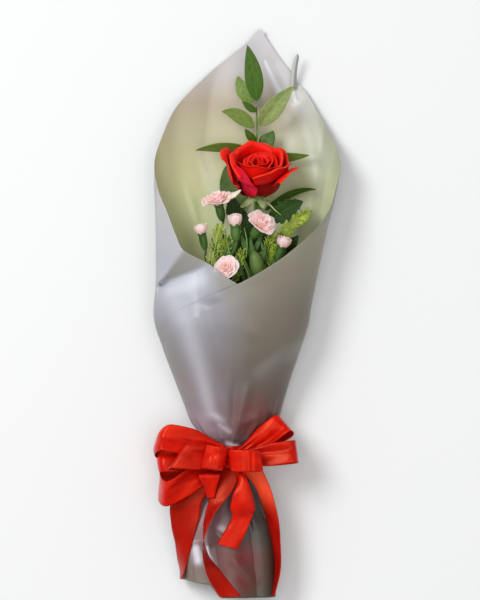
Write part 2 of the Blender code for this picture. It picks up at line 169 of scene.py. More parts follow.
def solidify(o, mm, offset=0.0, rim=True):
    m = o.modifiers.new("thickness", "SOLIDIFY")
    m.thickness = mm * MM
    m.offset = offset
    m.use_rim = rim
    m.use_even_offset = False
    return o


def tube_into(B, points, radii, segments=10, v0=0.0, v1=1.0, caps=True):
    """A smooth tube along points (mm) with a radius at each."""
    P = np.asarray(points, float)
    R = np.asarray(radii, float)
    T = np.gradient(P, axis=0)
    T /= np.linalg.norm(T, axis=1)[:, None] + 1e-12
    n = np.cross(T[0], [0.0, 0.0, 1.0] if abs(T[0][2]) < 0.9 else [1.0, 0.0, 0.0])
    N = []
    for t in T:
        n = n - t * np.dot(n, t)
        n /= np.linalg.norm(n) + 1e-12
        N.append(n)
    N = np.array(N)
    Bn = np.cross(T, N)
    a = np.linspace(0, 2 * PI, segments, endpoint=False)
    ring = N[None] * np.cos(a)[:, None, None] + Bn[None] * np.sin(a)[:, None, None]
    G = P[None] + ring * R[None, :, None]
    U = (a / (2 * PI))[:, None]
    V = np.linspace(v0, v1, len(P))[None]
    start = B.n
    B.grid(G, U, V, wrap=True, flip=True)
    if caps:
        m = len(P)
        B.fan(P[0] - T[0] * R[0] * 0.3, [start + i * m for i in range(segments)], (0.5, v0), flip=False)
        B.fan(P[-1] + T[-1] * R[-1] * 0.3, [start + i * m + m - 1 for i in range(segments)], (0.5, v1), flip=True)


# ------------------------------------------------------------------ materials
def new_material(name):
    m = bpy.data.materials.new(name)
    m.use_nodes = True
    nt = m.node_tree
    return m, nt, nt.nodes["Principled BSDF"]


def ramp(nt, stops, fac, interpolation="LINEAR"):
    n = nt.nodes.new("ShaderNodeValToRGB")
    n.color_ramp.interpolation = interpolation
    e = n.color_ramp.elements
    while len(e) < len(stops):
        e.new(0.5)
    for el, (p, c) in zip(e, stops):
        el.position = p
        el.color = (*c, 1.0) if len(c) == 3 else c
    nt.links.new(fac, n.inputs["Fac"])
    return n.outputs["Color"]


def mix_colour(nt, a, b, fac, blend="MIX"):
    n = nt.nodes.new("ShaderNodeMix")
    n.data_type = "RGBA"
    n.blend_type = blend
    n.clamp_factor = True
    for sock, val in ((n.inputs[0], fac), (n.inputs[6], a), (n.inputs[7], b)):
        if isinstance(val, (int, float)):
            sock.default_value = val
        elif isinstance(val, tuple):
            sock.default_value = (*val, 1.0) if len(val) == 3 else val
        else:
            nt.links.new(val, sock)
    return n.outputs[2]


def math_node(nt, op, a, b=0.0, c=None, clamp=False):
    n = nt.nodes.new("ShaderNodeMath")
    n.operation = op
    n.use_clamp = clamp
    for sock, val in zip(n.inputs, (a, b, c)):
        if val is None:
            continue
        if isinstance(val, (int, float)):
            sock.default_value = val
        else:
            nt.links.new(val, sock)
    return n.outputs[0]


def map_range(nt, value, a, b, c=0.0, d=1.0, smooth_step=False):
    n = nt.nodes.new("ShaderNodeMapRange")
    n.interpolation_type = "SMOOTHSTEP" if smooth_step else "LINEAR"
    n.inputs["From Min"].default_value = a
    n.inputs["From Max"].default_value = b
    n.inputs["To Min"].default_value = c
    n.inputs["To Max"].default_value = d
    nt.links.new(value, n.inputs["Value"])
    return n.outputs["Result"]


def coords(nt):
    """Object coordinates in metres, and the UV's two numbers."""
    t = nt.nodes.new("ShaderNodeTexCoord")
    o = nt.nodes.new("ShaderNodeSeparateXYZ")
    u = nt.nodes.new("ShaderNodeSeparateXYZ")
    nt.links.new(t.outputs["Object"], o.inputs[0])
    nt.links.new(t.outputs["UV"], u.inputs[0])
    return t, o, u


def noise_tex(nt, vector, scale, detail=3.0, rough=0.55, distortion=0.0):
    n = nt.nodes.new("ShaderNodeTexNoise")
    n.inputs["Scale"].default_value = scale
    n.inputs["Detail"].default_value = detail
    n.inputs["Roughness"].default_value = rough
    n.inputs["Distortion"].default_value = distortion
    nt.links.new(vector, n.inputs["Vector"])
    return n.outputs["Fac"]


def scaled(nt, vector, s):
    n = nt.nodes.new("ShaderNodeMapping")
    n.inputs["Scale"].default_value = s
    nt.links.new(vector, n.inputs["Vector"])
    return n.outputs["Vector"]


def bump(nt, bsdf, height, strength, distance, chain=None):
    n = nt.nodes.new("ShaderNodeBump")
    n.inputs["Strength"].default_value = strength
    n.inputs["Distance"].default_value = distance
    nt.links.new(height, n.inputs["Height"])
    if chain is not None:
        nt.links.new(chain, n.inputs["Normal"])
    nt.links.new(n.outputs["Normal"], bsdf.inputs["Normal"])
    return n.outputs["Normal"]


def film_material():
    """Frosted film: UV x is the angle round the wrap (0 is -250 degrees, 1 is 250), UV y runs along it."""
    m, nt, b = new_material("frosted_film")
    t, o, u = coords(nt)
    # inside of the back sheet, from below the flowers up to the tip: painted light through the film and painted
    # reflections of the greens, with another, mostly darker ramp mixed in towards the right wall
    back = ramp(nt, [(0.30, (0.48, 0.50, 0.23)), (0.55, (0.68, 0.73, 0.35)), (0.68, (0.64, 0.68, 0.35)), (0.78, (0.58, 0.57, 0.33)),
                     (0.87, (0.52, 0.44, 0.33)), (0.93, (0.60, 0.56, 0.55)), (1.0, (0.62, 0.60, 0.65))], u.outputs["Y"])
    side = map_range(nt, o.outputs["X"], 0.025, 0.085, 0.0, 1.0, True)
    edge = ramp(nt, [(0.64, (0.52, 0.57, 0.38)), (0.71, (0.56, 0.62, 0.40)), (0.765, (0.36, 0.40, 0.29)), (0.82, (0.32, 0.345, 0.27)), (0.90, (0.38, 0.41, 0.31))], u.outputs["Y"])
    back = mix_colour(nt, back, edge, math_node(nt, "MULTIPLY", side, 0.75))
    # the front, left of the overlap and right of it: painted light and shade, lighter on the left and darker on the
    # right and low down, with a painted highlight at the neck and painted red reflections on the skirt
    front = ramp(nt, [(0.0, (0.19, 0.15, 0.12)), (0.07, (0.20, 0.12, 0.115)), (0.13, (0.25, 0.12, 0.135)), (0.2, (0.15, 0.09, 0.09)), (0.26, (0.26, 0.17, 0.20)), (0.295, (0.45, 0.34, 0.39)),
                      (0.335, (0.27, 0.215, 0.24)), (0.40, (0.255, 0.22, 0.235)), (0.47, (0.28, 0.27, 0.30)), (0.515, (0.345, 0.34, 0.385)), (0.57, (0.40, 0.41, 0.46)), (0.7, (0.50, 0.48, 0.48))], u.outputs["Y"])
    right = ramp(nt, [(0.0, (0.050, 0.045, 0.030)), (0.22, (0.045, 0.028, 0.024)), (0.30, (0.14, 0.065, 0.052)), (0.36, (0.130, 0.095, 0.075)), (0.44, (0.18, 0.155, 0.12)), (0.5, (0.19, 0.165, 0.13)),
                      (0.60, (0.29, 0.265, 0.20)), (0.8, (0.32, 0.31, 0.24))], u.outputs["Y"])
    across = map_range(nt, o.outputs["X"], -0.050, 0.012, 0.0, 1.0, True)
    front = mix_colour(nt, front, right, across)
    is_front = map_range(nt, math_node(nt, "ABSOLUTE", math_node(nt, "SUBTRACT", u.outputs["X"], 0.5)), 0.165, 0.215, 0.0, 1.0, True)
    # the back sheet's outer face is plain grey; its inner face takes the colours above, with the leaves' green as a
    # painted reflection
    facing = nt.nodes.new("ShaderNodeNewGeometry")
    outward = nt.nodes.new("ShaderNodeVectorMath")
    outward.operation = "MULTIPLY_ADD"
    nt.links.new(t.outputs["Object"], outward.inputs[0])
    outward.inputs[1].default_value = (1.0, 0.0, 1.0)
    outward.inputs[2].default_value = (0.010, 0.0, -0.028)
    out = nt.nodes.new("ShaderNodeVectorMath")
    out.operation = "DOT_PRODUCT"
    nt.links.new(outward.outputs["Vector"], out.inputs[0])
    nt.links.new(facing.outputs["Normal"], out.inputs[1])
    inner = map_range(nt, out.outputs["Value"], -0.003, 0.004, 1.0, 0.0, True)
    back = mix_colour(nt, (0.36, 0.35, 0.34), back, inner)
    colour = mix_colour(nt, back, front, is_front)
    # painted reflection: the red of the ribbon and flowers painted onto the film round the knot, and in blotches near
    # the tails
    knot_reflection = nt.nodes.new("ShaderNodeVectorMath")
    knot_reflection.operation = "DISTANCE"
    nt.links.new(t.outputs["Object"], knot_reflection.inputs[0])
    knot_reflection.inputs[1].default_value = (0.006, -0.112, 0.045)
    near = map_range(nt, knot_reflection.outputs["Value"], 0.008, 0.036, 0.55, 0.0, True)
    colour = mix_colour(nt, colour, (0.20, 0.05, 0.045), near)
    tail_reflection = nt.nodes.new("ShaderNodeVectorMath")
    tail_reflection.operation = "DISTANCE"
    nt.links.new(t.outputs["Object"], tail_reflection.inputs[0])
    tail_reflection.inputs[1].default_value = (-0.007, -0.278, 0.045)
    blotch = map_range(nt, noise_tex(nt, t.outputs["Object"], 38.0, 2.0), 0.38, 0.58, 0.65, 1.0, True)
    near = math_node(nt, "MULTIPLY", map_range(nt, tail_reflection.outputs["Value"], 0.012, 0.042, 0.95, 0.0, True), blotch)
    colour = mix_colour(nt, colour, (0.14, 0.012, 0.010), near)
    cloud = noise_tex(nt, t.outputs["Object"], 9.0, 3.0)
    colour = mix_colour(nt, colour, (0.75, 0.75, 0.76), map_range(nt, cloud, 0.55, 0.85, 0.0, 0.05, True))
    # painted highlights (the crease attribute) whiten the film in glints, glare and bright bands, and painted shade
    # darkens the turned-down corner and two strips on the front
    for name, tint in (("crease", (0.86, 0.88, 0.95)), ("painted_shade", (0.26, 0.235, 0.165))):
        marks = nt.nodes.new("ShaderNodeAttribute")
        marks.attribute_name = name
        colour = mix_colour(nt, colour, tint, marks.outputs["Fac"])
    nt.links.new(colour, b.inputs["Base Color"])
    b.inputs["Roughness"].default_value = 0.36
    b.inputs["IOR"].default_value = 1.5
    b.inputs["Specular IOR Level"].default_value = 0.5
    alpha = map_range(nt, noise_tex(nt, t.outputs["Object"], 14.0, 2.0), 0.3, 0.7, 0.84, 0.90)
    alpha = math_node(nt, "MAXIMUM", alpha, map_range(nt, u.outputs["Y"], 0.22, 0.34, 0.97, 0.80, True))
    nt.links.new(alpha, b.inputs["Alpha"])
    fine = noise_tex(nt, scaled(nt, t.outputs["Object"], (1.0, 0.35, 1.0)), 60.0, 4.0, 0.6, 0.6)
    bump(nt, b, fine, 0.12, 0.0010)
    return m


def satin_material(name="red_satin", depth=1.0, fade=None):
    """Woven satin: UV x runs along the ribbon, 1 in every 24 mm. A depth below 1 darkens the whole ribbon: painted
    shade. With fade it is bright up to fade[0], a painted highlight, and reaches its depth at fade[1].
    """
    m, nt, b = new_material(name)
    t, o, u = coords(nt)
    tone = noise_tex(nt, scaled(nt, t.outputs["UV"], (1.0, 2.0, 1.0)), 0.8, 2.0)
    colour = ramp(nt, [(0.30, (0.44 * depth, 0.002, 0.0008)), (0.55, (0.60 * depth, 0.006 * depth, 0.001)), (0.80, (0.74 * depth, 0.016 * depth, 0.002))], tone)
    if fade:
        bright = ramp(nt, [(0.30, (0.84, 0.055, 0.018)), (0.70, (0.94, 0.090, 0.030))], tone)
        colour = mix_colour(nt, bright, colour, map_range(nt, u.outputs["X"], fade[0], fade[1], 0.0, 1.0, True))
    edge = map_range(nt, math_node(nt, "ABSOLUTE", math_node(nt, "SUBTRACT", u.outputs["Y"], 0.5)), 0.465, 0.49, 0.0, 0.6, True)
    colour = mix_colour(nt, colour, (0.36, 0.004, 0.002), edge)
    nt.links.new(colour, b.inputs["Base Color"])
    b.inputs["Roughness"].default_value = 0.31
    b.inputs["Anisotropic"].default_value = 0.4
    b.inputs["Specular IOR Level"].default_value = 0.55
    b.inputs["Specular Tint"].default_value = (1.0, 0.26, 0.13, 1.0)
    w = nt.nodes.new("ShaderNodeTexWave")
    w.wave_type = "BANDS"
    w.bands_direction = "Y"
    w.inputs["Scale"].default_value = 26.0
    w.inputs["Distortion"].default_value = 0.3
    nt.links.new(t.outputs["UV"], w.inputs["Vector"])
    n1 = bump(nt, b, w.outputs["Fac"], 0.05, 0.0002)
    soft = noise_tex(nt, scaled(nt, t.outputs["UV"], (1.0, 1.6, 1.0)), 1.6, 2.0)
    bump(nt, b, soft, 0.25, 0.002, n1)
    return m


def petal_material(name, base, dark_and_shade, rim, sheen=0.05, sub=0.0, until=0.42, spec=0.14):
    """UV x runs across the petal, UV y from its base to its rim."""
    m, nt, b = new_material(name)
    t, o, u = coords(nt)
    # darker from the base up to until: the petal's own darker base, and painted shade on the rose's front petal; the
    # lighter rim colour at the top edge is a painted highlight
    colour = ramp(nt, [(0.0, (0.30, 0.10, 0.02)), (0.08, dark_and_shade), (until, dark_and_shade), (until + 0.26, base), (0.92, base), (1.0, rim)], u.outputs["Y"])
    blotch = noise_tex(nt, scaled(nt, t.outputs["UV"], (2.0, 1.0, 1.0)), 3.0, 3.0)
    colour = mix_colour(nt, colour, dark_and_shade, map_range(nt, blotch, 0.45, 0.8, 0.0, 0.45, True))
    nt.links.new(colour, b.inputs["Base Color"])
    b.inputs["Roughness"].default_value = 0.48
    b.inputs["Specular IOR Level"].default_value = spec
    b.inputs["Sheen Weight"].default_value = sheen
    b.inputs["Sheen Roughness"].default_value = 0.4
    b.inputs["Sheen Tint"].default_value = (*[min(1.0, c + 0.10) for c in rim], 1.0)
    if sub:
        b.inputs["Subsurface Weight"].default_value = sub
        b.inputs["Subsurface Radius"].default_value = (1.0, 0.6, 0.5)
        b.inputs["Subsurface Scale"].default_value = 0.004
    w = nt.nodes.new("ShaderNodeTexWave")
    w.wave_type = "BANDS"
    w.bands_direction = "X"
    w.inputs["Scale"].default_value = 7.0
    w.inputs["Distortion"].default_value = 2.0
    w.inputs["Detail"].default_value = 2.0
    nt.links.new(scaled(nt, t.outputs["UV"], (1.0, 0.25, 1.0)), w.inputs["Vector"])
    bump(nt, b, w.outputs["Fac"], 0.12, 0.0008)
    return m


def leaf_material(name, dark, light, vein, veins=9.0, pinnate=False, rough=0.36, spec=0.24):
    m, nt, b = new_material(name)
    t, o, u = coords(nt)
    side = math_node(nt, "ABSOLUTE", math_node(nt, "SUBTRACT", u.outputs["X"], 0.5))
    tone = noise_tex(nt, scaled(nt, t.outputs["UV"], (1.5, 3.0, 1.0)), 3.0, 3.0)
    colour = ramp(nt, [(0.25, dark), (0.75, light)], tone)
    w = nt.nodes.new("ShaderNodeTexWave")
    w.wave_type = "BANDS"
    w.bands_direction = "X"
    w.inputs["Scale"].default_value = veins
    w.inputs["Distortion"].default_value = 0.6
    w.inputs["Detail"].default_value = 1.0
    c = nt.nodes.new("ShaderNodeCombineXYZ")
    if pinnate:
        nt.links.new(math_node(nt, "SUBTRACT", u.outputs["Y"], math_node(nt, "MULTIPLY", side, 0.55)), c.inputs[0])
    else:
        nt.links.new(u.outputs["X"], c.inputs[0])
    nt.links.new(c.outputs[0], w.inputs["Vector"])
    colour = mix_colour(nt, colour, light, map_range(nt, w.outputs["Fac"], 0.7, 1.0, 0.0, 0.35, True))
    mid = map_range(nt, side, 0.0, 0.028, 1.0, 0.0, True)
    colour = mix_colour(nt, colour, vein, math_node(nt, "MULTIPLY", mid, 0.7))
    nt.links.new(colour, b.inputs["Base Color"])
    b.inputs["Roughness"].default_value = rough
    b.inputs["Specular IOR Level"].default_value = spec
    n1 = bump(nt, b, w.outputs["Fac"], 0.25, 0.0006)
    bump(nt, b, mid, 0.4, 0.0008, n1)
    return m


def plain_material(name, stops, scale, rough=0.5, stretch=(1, 1, 1), strength=0.2, dist=0.0006, sheen=0.0):
    m, nt, b = new_material(name)
    t, o, u = coords(nt)
    tone = noise_tex(nt, scaled(nt, t.outputs["Object"], stretch), scale, 4.0)
    nt.links.new(ramp(nt, stops, tone), b.inputs["Base Color"])
    b.inputs["Roughness"].default_value = rough
    b.inputs["Specular IOR Level"].default_value = 0.3
    if sheen:
        b.inputs["Sheen Weight"].default_value = sheen
    bump(nt, b, noise_tex(nt, scaled(nt, t.outputs["Object"], stretch), scale * 3, 3.0), strength, dist)
    return m


FILM = film_material()
SATIN = satin_material()
# darker copies of the one red satin are painted shade, on two tails and two loops; the right tail's copy has a painted
# highlight near the knot that fades into painted shade
SATIN_SHADED = satin_material("red_satin_tails_painted_shade", 0.62)
SATIN_HALF_SHADED = satin_material("red_satin_front_painted_shade", 0.80)
SATIN_LIT_THEN_SHADED = satin_material("red_satin_right_tail_painted_light", 0.60, (1.3, 2.9))
# rose petals: the lighter rim colour is a painted highlight on the rolled rims, and the front petal's much darker lower
# part is painted shade under its rim
ROSE = petal_material("rose_petal", (0.78, 0.006, 0.003), (0.34, 0.001, 0.002), (0.86, 0.035, 0.012))
ROSE_OUT = petal_material("rose_outer_petal", (0.76, 0.008, 0.005), (0.42, 0.001, 0.004), (0.84, 0.040, 0.014), until=0.5)
CREAM = petal_material("carnation_side_petal", (0.86, 0.74, 0.55), (0.80, 0.66, 0.44), (0.90, 0.80, 0.64), 0.05, 0.4, 0.3)
ROSE_CRIMSON = petal_material("rose_crimson_petal", (0.66, 0.010, 0.036), (0.32, 0.002, 0.012), (0.66, 0.010, 0.030), until=0.36)
ROSE_FRONT_SHADED = petal_material("rose_front_petal_painted_shade", (0.66, 0.005, 0.003), (0.24, 0.001, 0.002), (0.86, 0.035, 0.012), until=0.52)
HEART = petal_material("rose_heart", (0.74, 0.005, 0.003), (0.34, 0.001, 0.001), (0.82, 0.020, 0.008), until=0.7)
PINK = petal_material("carnation_petal", (0.96, 0.66, 0.62), (0.96, 0.60, 0.55), (0.98, 0.80, 0.78), 0.05, 0.6, 0.3)
# painted glow: a faint pink emission stands in for light passing through the thin petals from behind
PINK_BSDF = PINK.node_tree.nodes["Principled BSDF"]
PINK_BSDF.inputs["Emission Color"].default_value = (1.0, 0.62, 0.54, 1.0)
PINK_BSDF.inputs["Emission Strength"].default_value = 0.075
RUSCUS = leaf_material("ruscus_leaf", (0.030, 0.085, 0.006), (0.070, 0.150, 0.012), (0.13, 0.23, 0.03))
RUSCUS_LIGHT = leaf_material("ruscus_leaf_young", (0.17, 0.25, 0.065), (0.34, 0.42, 0.15), (0.42, 0.50, 0.22))
RUSCUS_PALE = leaf_material("ruscus_leaf_half_grown", (0.10, 0.165, 0.025), (0.19, 0.29, 0.055), (0.28, 0.37, 0.11))
ROSE_LEAF = leaf_material("rose_leaf", (0.012, 0.034, 0.005), (0.030, 0.070, 0.010), (0.07, 0.13, 0.03), 9.0, True, 0.42, 0.12)
ROSE_LEAF_MID = leaf_material("rose_leaf_lower", (0.055, 0.105, 0.026), (0.115, 0.185, 0.052), (0.15, 0.23, 0.075), 7.0, True, 0.42, 0.18)
SPRAY_LEAF = leaf_material("carnation_leaf", (0.020, 0.060, 0.010), (0.085, 0.170, 0.035), (0.20, 0.33, 0.10), 5.0)
BUD = plain_material("carnation_bud", [(0.3, (0.050, 0.100, 0.016)), (0.7, (0.120, 0.19, 0.042))], 60.0, 0.45, (1, 0.4, 1))
RUSCUS_MID = leaf_material("ruscus_leaf_side", (0.085, 0.155, 0.016), (0.190, 0.270, 0.045), (0.26, 0.34, 0.08))
STEM = plain_material("stem_green", [(0.3, (0.10, 0.20, 0.035)), (0.7, (0.19, 0.32, 0.07))], 60.0, 0.45, (1, 0.2, 1))
CALYX = plain_material("carnation_calyx", [(0.3, (0.025, 0.070, 0.010)), (0.7, (0.085, 0.18, 0.035))], 70.0, 0.42, (1, 0.3, 1))
SEPAL = plain_material("rose_sepal", [(0.3, (0.23, 0.29, 0.09)), (0.7, (0.54, 0.57, 0.28))], 80.0, 0.5)
GOLD = plain_material("goldenrod", [(0.25, (0.08, 0.15, 0.012)), (0.5, (0.30, 0.41, 0.035)), (0.75, (0.62, 0.70, 0.12))], 120.0, 0.6)
TWINE = plain_material("twine", [(0.3, (0.30, 0.20, 0.10)), (0.7, (0.55, 0.42, 0.25))], 300.0, 0.9, (1, 1, 1), 0.6, 0.001)

# ------------------------------------------------------------------ the film
HALF_W = curve_1d([(-320, 51), (-270, 51), (-236, 49), (-204, 41), (-178, 26), (-160, 15), (-150, 13.2), (-145, 14.0),
                   (-140.5, 23), (-136, 31), (-126, 41), (-117, 47.5), (-100, 53.6), (-74, 62.7), (-39, 75.2), (-6, 85), (30, 87.2),
                   (68, 91), (118, 96.5), (161, 100.3), (220, 101.5), (320, 101.5)])
HALF_D = curve_1d([(-320, 24), (-270, 25), (-236, 24), (-204, 20), (-178, 16), (-160, 13.6), (-150, 13.2), (-144, 13.4),
                   (-137, 18), (-117, 26), (-74, 34), (-39, 40), (-6, 44), (68, 47), (161, 50), (320, 50)])
MID_X = curve_1d([(-320, -19.6), (-236, -19.6), (-178, -18), (-147.7, -17.4), (-117, -15.3), (-74, -16.9), (-39, -17.4),
                  (-6, -17.4), (30, -13.1), (68, -9.3), (118, -4.9), (161, -1.1), (220, 5), (312, 16.4)])
MID_Z = curve_1d([(-320, 21), (-236, 20.5), (-204, 18.5), (-170, 18.5), (-147.7, 18.5), (-137, 20), (-117, 23.5), (-74, 29),
                  (-39, 35), (-6, 39), (68, 42), (161, 45), (240, 47), (320, 58)])
NECK_Y = -147.7


LEFT_VIS = curve_1d([(-320, -215), (-178, -228), (-147, -235), (-30, -225), (13.6, -200), (30, -183), (37.6, -174), (53, -159), (62, -146),
                     (68, -138), (84, -131), (100.8, -123.8), (112, -118.5), (124, -111.5), (132.4, -106), (141, -99), (148, -92.5), (156, -88),
                     (170.6, -80), (188, -72), (205.5, -65), (223, -56.5), (240, -46), (262, -31), (282, -17.5), (297, -8), (305, -4.6), (310.5, -2.2)])
RIGHT_VIS = curve_1d([(-320, 222), (-190, 236), (-147, 262), (-60, 268), (-25, 258), (-6, 236), (9, 212), (31, 178), (50.7, 156.7), (76.8, 133.8),
                      (98.6, 114.8), (118, 100), (157.5, 88), (170.6, 76), (179.3, 70), (188, 64), (196.7, 57.8), (205.5, 52.6), (214, 48), (222.9, 43.6),
                      (231.6, 39.6), (240, 35.6), (247, 31.6), (252, 27.6), (257.8, 25.2), (266.5, 20.8), (275, 16.2), (284, 11.6), (292.7, 7.4), (301.4, 3.4), (306, 1.6), (310.5, 0.6)])


def ridge(x, y, a, b, half, fade=0.12, other=None):
    """1 on the segment from a to b, falling to 0 at distance half (other, on its left), and fading at its two ends."""
    ax, ay = a
    bx, by = b
    L = math.hypot(bx - ax, by - ay)
    t = ((x - ax) * (bx - ax) + (y - ay) * (by - ay)) / L**2
    d = ((x - ax) * (by - ay) - (y - ay) * (bx - ax)) / L
    d = np.where(d > 0, d / half, -d / (other or half))
    return np.maximum(1 - d, 0) * smooth(t / fade) * smooth((1 - t) / fade)


def side_of(x, y, a, b):
    """Distance (mm) to the right of the line from a to b."""
    L = math.hypot(b[0] - a[0], b[1] - a[1])
    return ((x - a[0]) * (b[1] - a[1]) - (y - a[1]) * (b[0] - a[0])) / L


def film_folds(y, deg):
    """How far the sheet stands out (mm) at angle deg: pleats that radiate from the neck, and soft waves."""
    a = np.radians(deg)
    up = y - (NECK_Y + 3)
    down = (NECK_Y - 3) - y
    f = np.zeros_like(a + y)
    near = np.exp(-((np.maximum(up, 0) / 24.0) ** 1.5)) * smooth(up / 8.0)
    f += 1.7 * near * (np.sin(15 * a + 0.5 * np.sin(3 * a)) + 0.5 * np.sin(27 * a + 1.0))
    mid = smooth(up / 22.0) * np.exp(-np.maximum(up - 22, 0) / 48.0)
    f += 2.6 * mid * (np.abs(np.sin(2.5 * a + 0.75)) ** 0.75 - 0.55 + 0.35 * np.sin(8 * a + 1.1 + 0.012 * up))
    nearb = np.exp(-((np.maximum(down, 0) / 26.0) ** 1.6)) * smooth(down / 8.0)
    f += 1.7 * nearb * (np.sin(13 * a + 0.8) + 0.6 * np.sin(25 * a + 2.0))
    midb = smooth(down / 24.0)
    f += 2.6 * midb * (np.abs(np.sin(3.0 * a + 1.0 + 0.006 * down)) ** 0.6 - 0.5) + 1.2 * midb * np.sin(7 * a + 2 + 0.02 * down)
    top = smooth((y - 20) / 120.0)
    f += top * (0.9 * np.sin(5 * a + 0.012 * y) + 0.6 * np.sin(11 * a + 0.02 * y + 1.0))
    # tall soft flutes in the right wall of the opening
    wall = smooth((deg - 38) / 14.0) * smooth((112 - deg) / 20.0) * smooth((y - 70) / 50.0) * smooth((250 - y) / 50.0)
    f += wall * (0.35 * np.sin(deg * 0.36 + 0.01 * y) + 0.12 * np.sin(deg * 0.8 + 1.0 - 0.02 * y))
    return f


FACET_A, FACET_B, FACET_C = (-70.9, 66.0), (-96.0, 30.5), (-41.0, 50.0)


def film_dents(x, y, front):
    """Creased facets of the sheet (mm towards the viewer), where front is 1 on its near side."""
    # turned-down left corner: a ridge, a valley below it, and a flat face under the valley
    a = side_of(x, y, FACET_A, FACET_B) * -1.0          # positive to the lower right of the ridge
    b = side_of(x, y, FACET_B, FACET_C)                 # positive below the valley
    h = 7.8
    inside = h * (np.abs(b) - a) / (np.abs(b) + np.abs(a) + 0.8)
    left = h * np.exp(np.minimum(a, 0) / 14.0)
    under = -h * np.exp(-np.maximum(b, 0) / 26.0)
    d = np.where(b > 0, under, np.where(a > 0, inside, left))
    window = smooth((-30 - x) / 18.0) * smooth((y + 30) / 45.0) * smooth((86 - y) / 20.0) * smooth((x + 101) / 6.0)
    out = d * window * front
    # the flat face ends in an upright fold on its right
    out += 3.2 * front * ridge(x, y, (-39, 53), (-37, 8), 16, 0.2)
    # long creases that run to the neck
    out += 4.6 * front * ridge(x, y, (-18, -136), (-60, 24), 13, 0.25, 30)
    out += 2.2 * front * ridge(x, y, (-13, -136), (4, -70), 7, 0.3)
    out += 2.0 * front * ridge(x, y, (-20, -122), (-44, -110), 5, 0.35, 9)
    out += 1.8 * front * ridge(x, y, (-10, -124), (14, -112), 5, 0.35, 9)
    out += -2.2 * front * ridge(x, y, (-16, -132), (-12, -62), 6, 0.3)
    out += 1.6 * front * ridge(x, y, (6, -72), (62, -30), 9, 0.3)
    out += 1.5 * front * ridge(x, y, (-5, -12), (58, -52), 10, 0.3)
    # glints on the far sheet near its tip and right edge
    back = 1 - front
    out += -4.2 * back * ridge(x, y, (17, 282), (42, 228), 22.0, 0.25, 9)
    out += -2.4 * back * ridge(x, y, (46, 250), (54, 228), 8, 0.3, 5.5)
    out += 0.4 * back * ridge(x, y, (60, 232), (78, 120), 9, 0.3, 16)
    out += 0.3 * back * ridge(x, y, (74, 212), (90, 110), 8, 0.3, 12)
    out += 1.0 * back * ridge(x, y, (-70, 150), (-40, 60), 6, 0.3)
    out += 1.0 * back * ridge(x, y, (-52, 176), (-30, 110), 7, 0.3)
    # lower skirt: short creases and two bright faces under the ribbon
    out += 3.6 * front * ridge(x, y, (-56, -250), (-44, -284), 7, 0.25)
    out += 3.0 * front * ridge(x, y, (-41, -252), (-36, -286), 5, 0.25)
    out += 2.6 * front * ridge(x, y, (-44, -232), (-22, -250), 5, 0.3)
    out += 2.2 * front * ridge(x, y, (-14, -190), (14, -240), 7, 0.3)
    out += 2.0 * front * ridge(x, y, (-20, -262), (14, -300), 8, 0.3)
    return out


def mark(x, y, a, b, half, start=1.0, end=1.0):
    """1 along the segment from a to b, falling off softly over half (mm). The width runs from start to end."""
    L = math.hypot(b[0] - a[0], b[1] - a[1])
    t = np.clip(((x - a[0]) * (b[0] - a[0]) + (y - a[1]) * (b[1] - a[1])) / L**2, 0, 1)
    d = np.hypot(x - a[0] - t * (b[0] - a[0]), y - a[1] - t * (b[1] - a[1]))
    return np.exp(-((d / (half * mix(start, end, t))) ** 2))


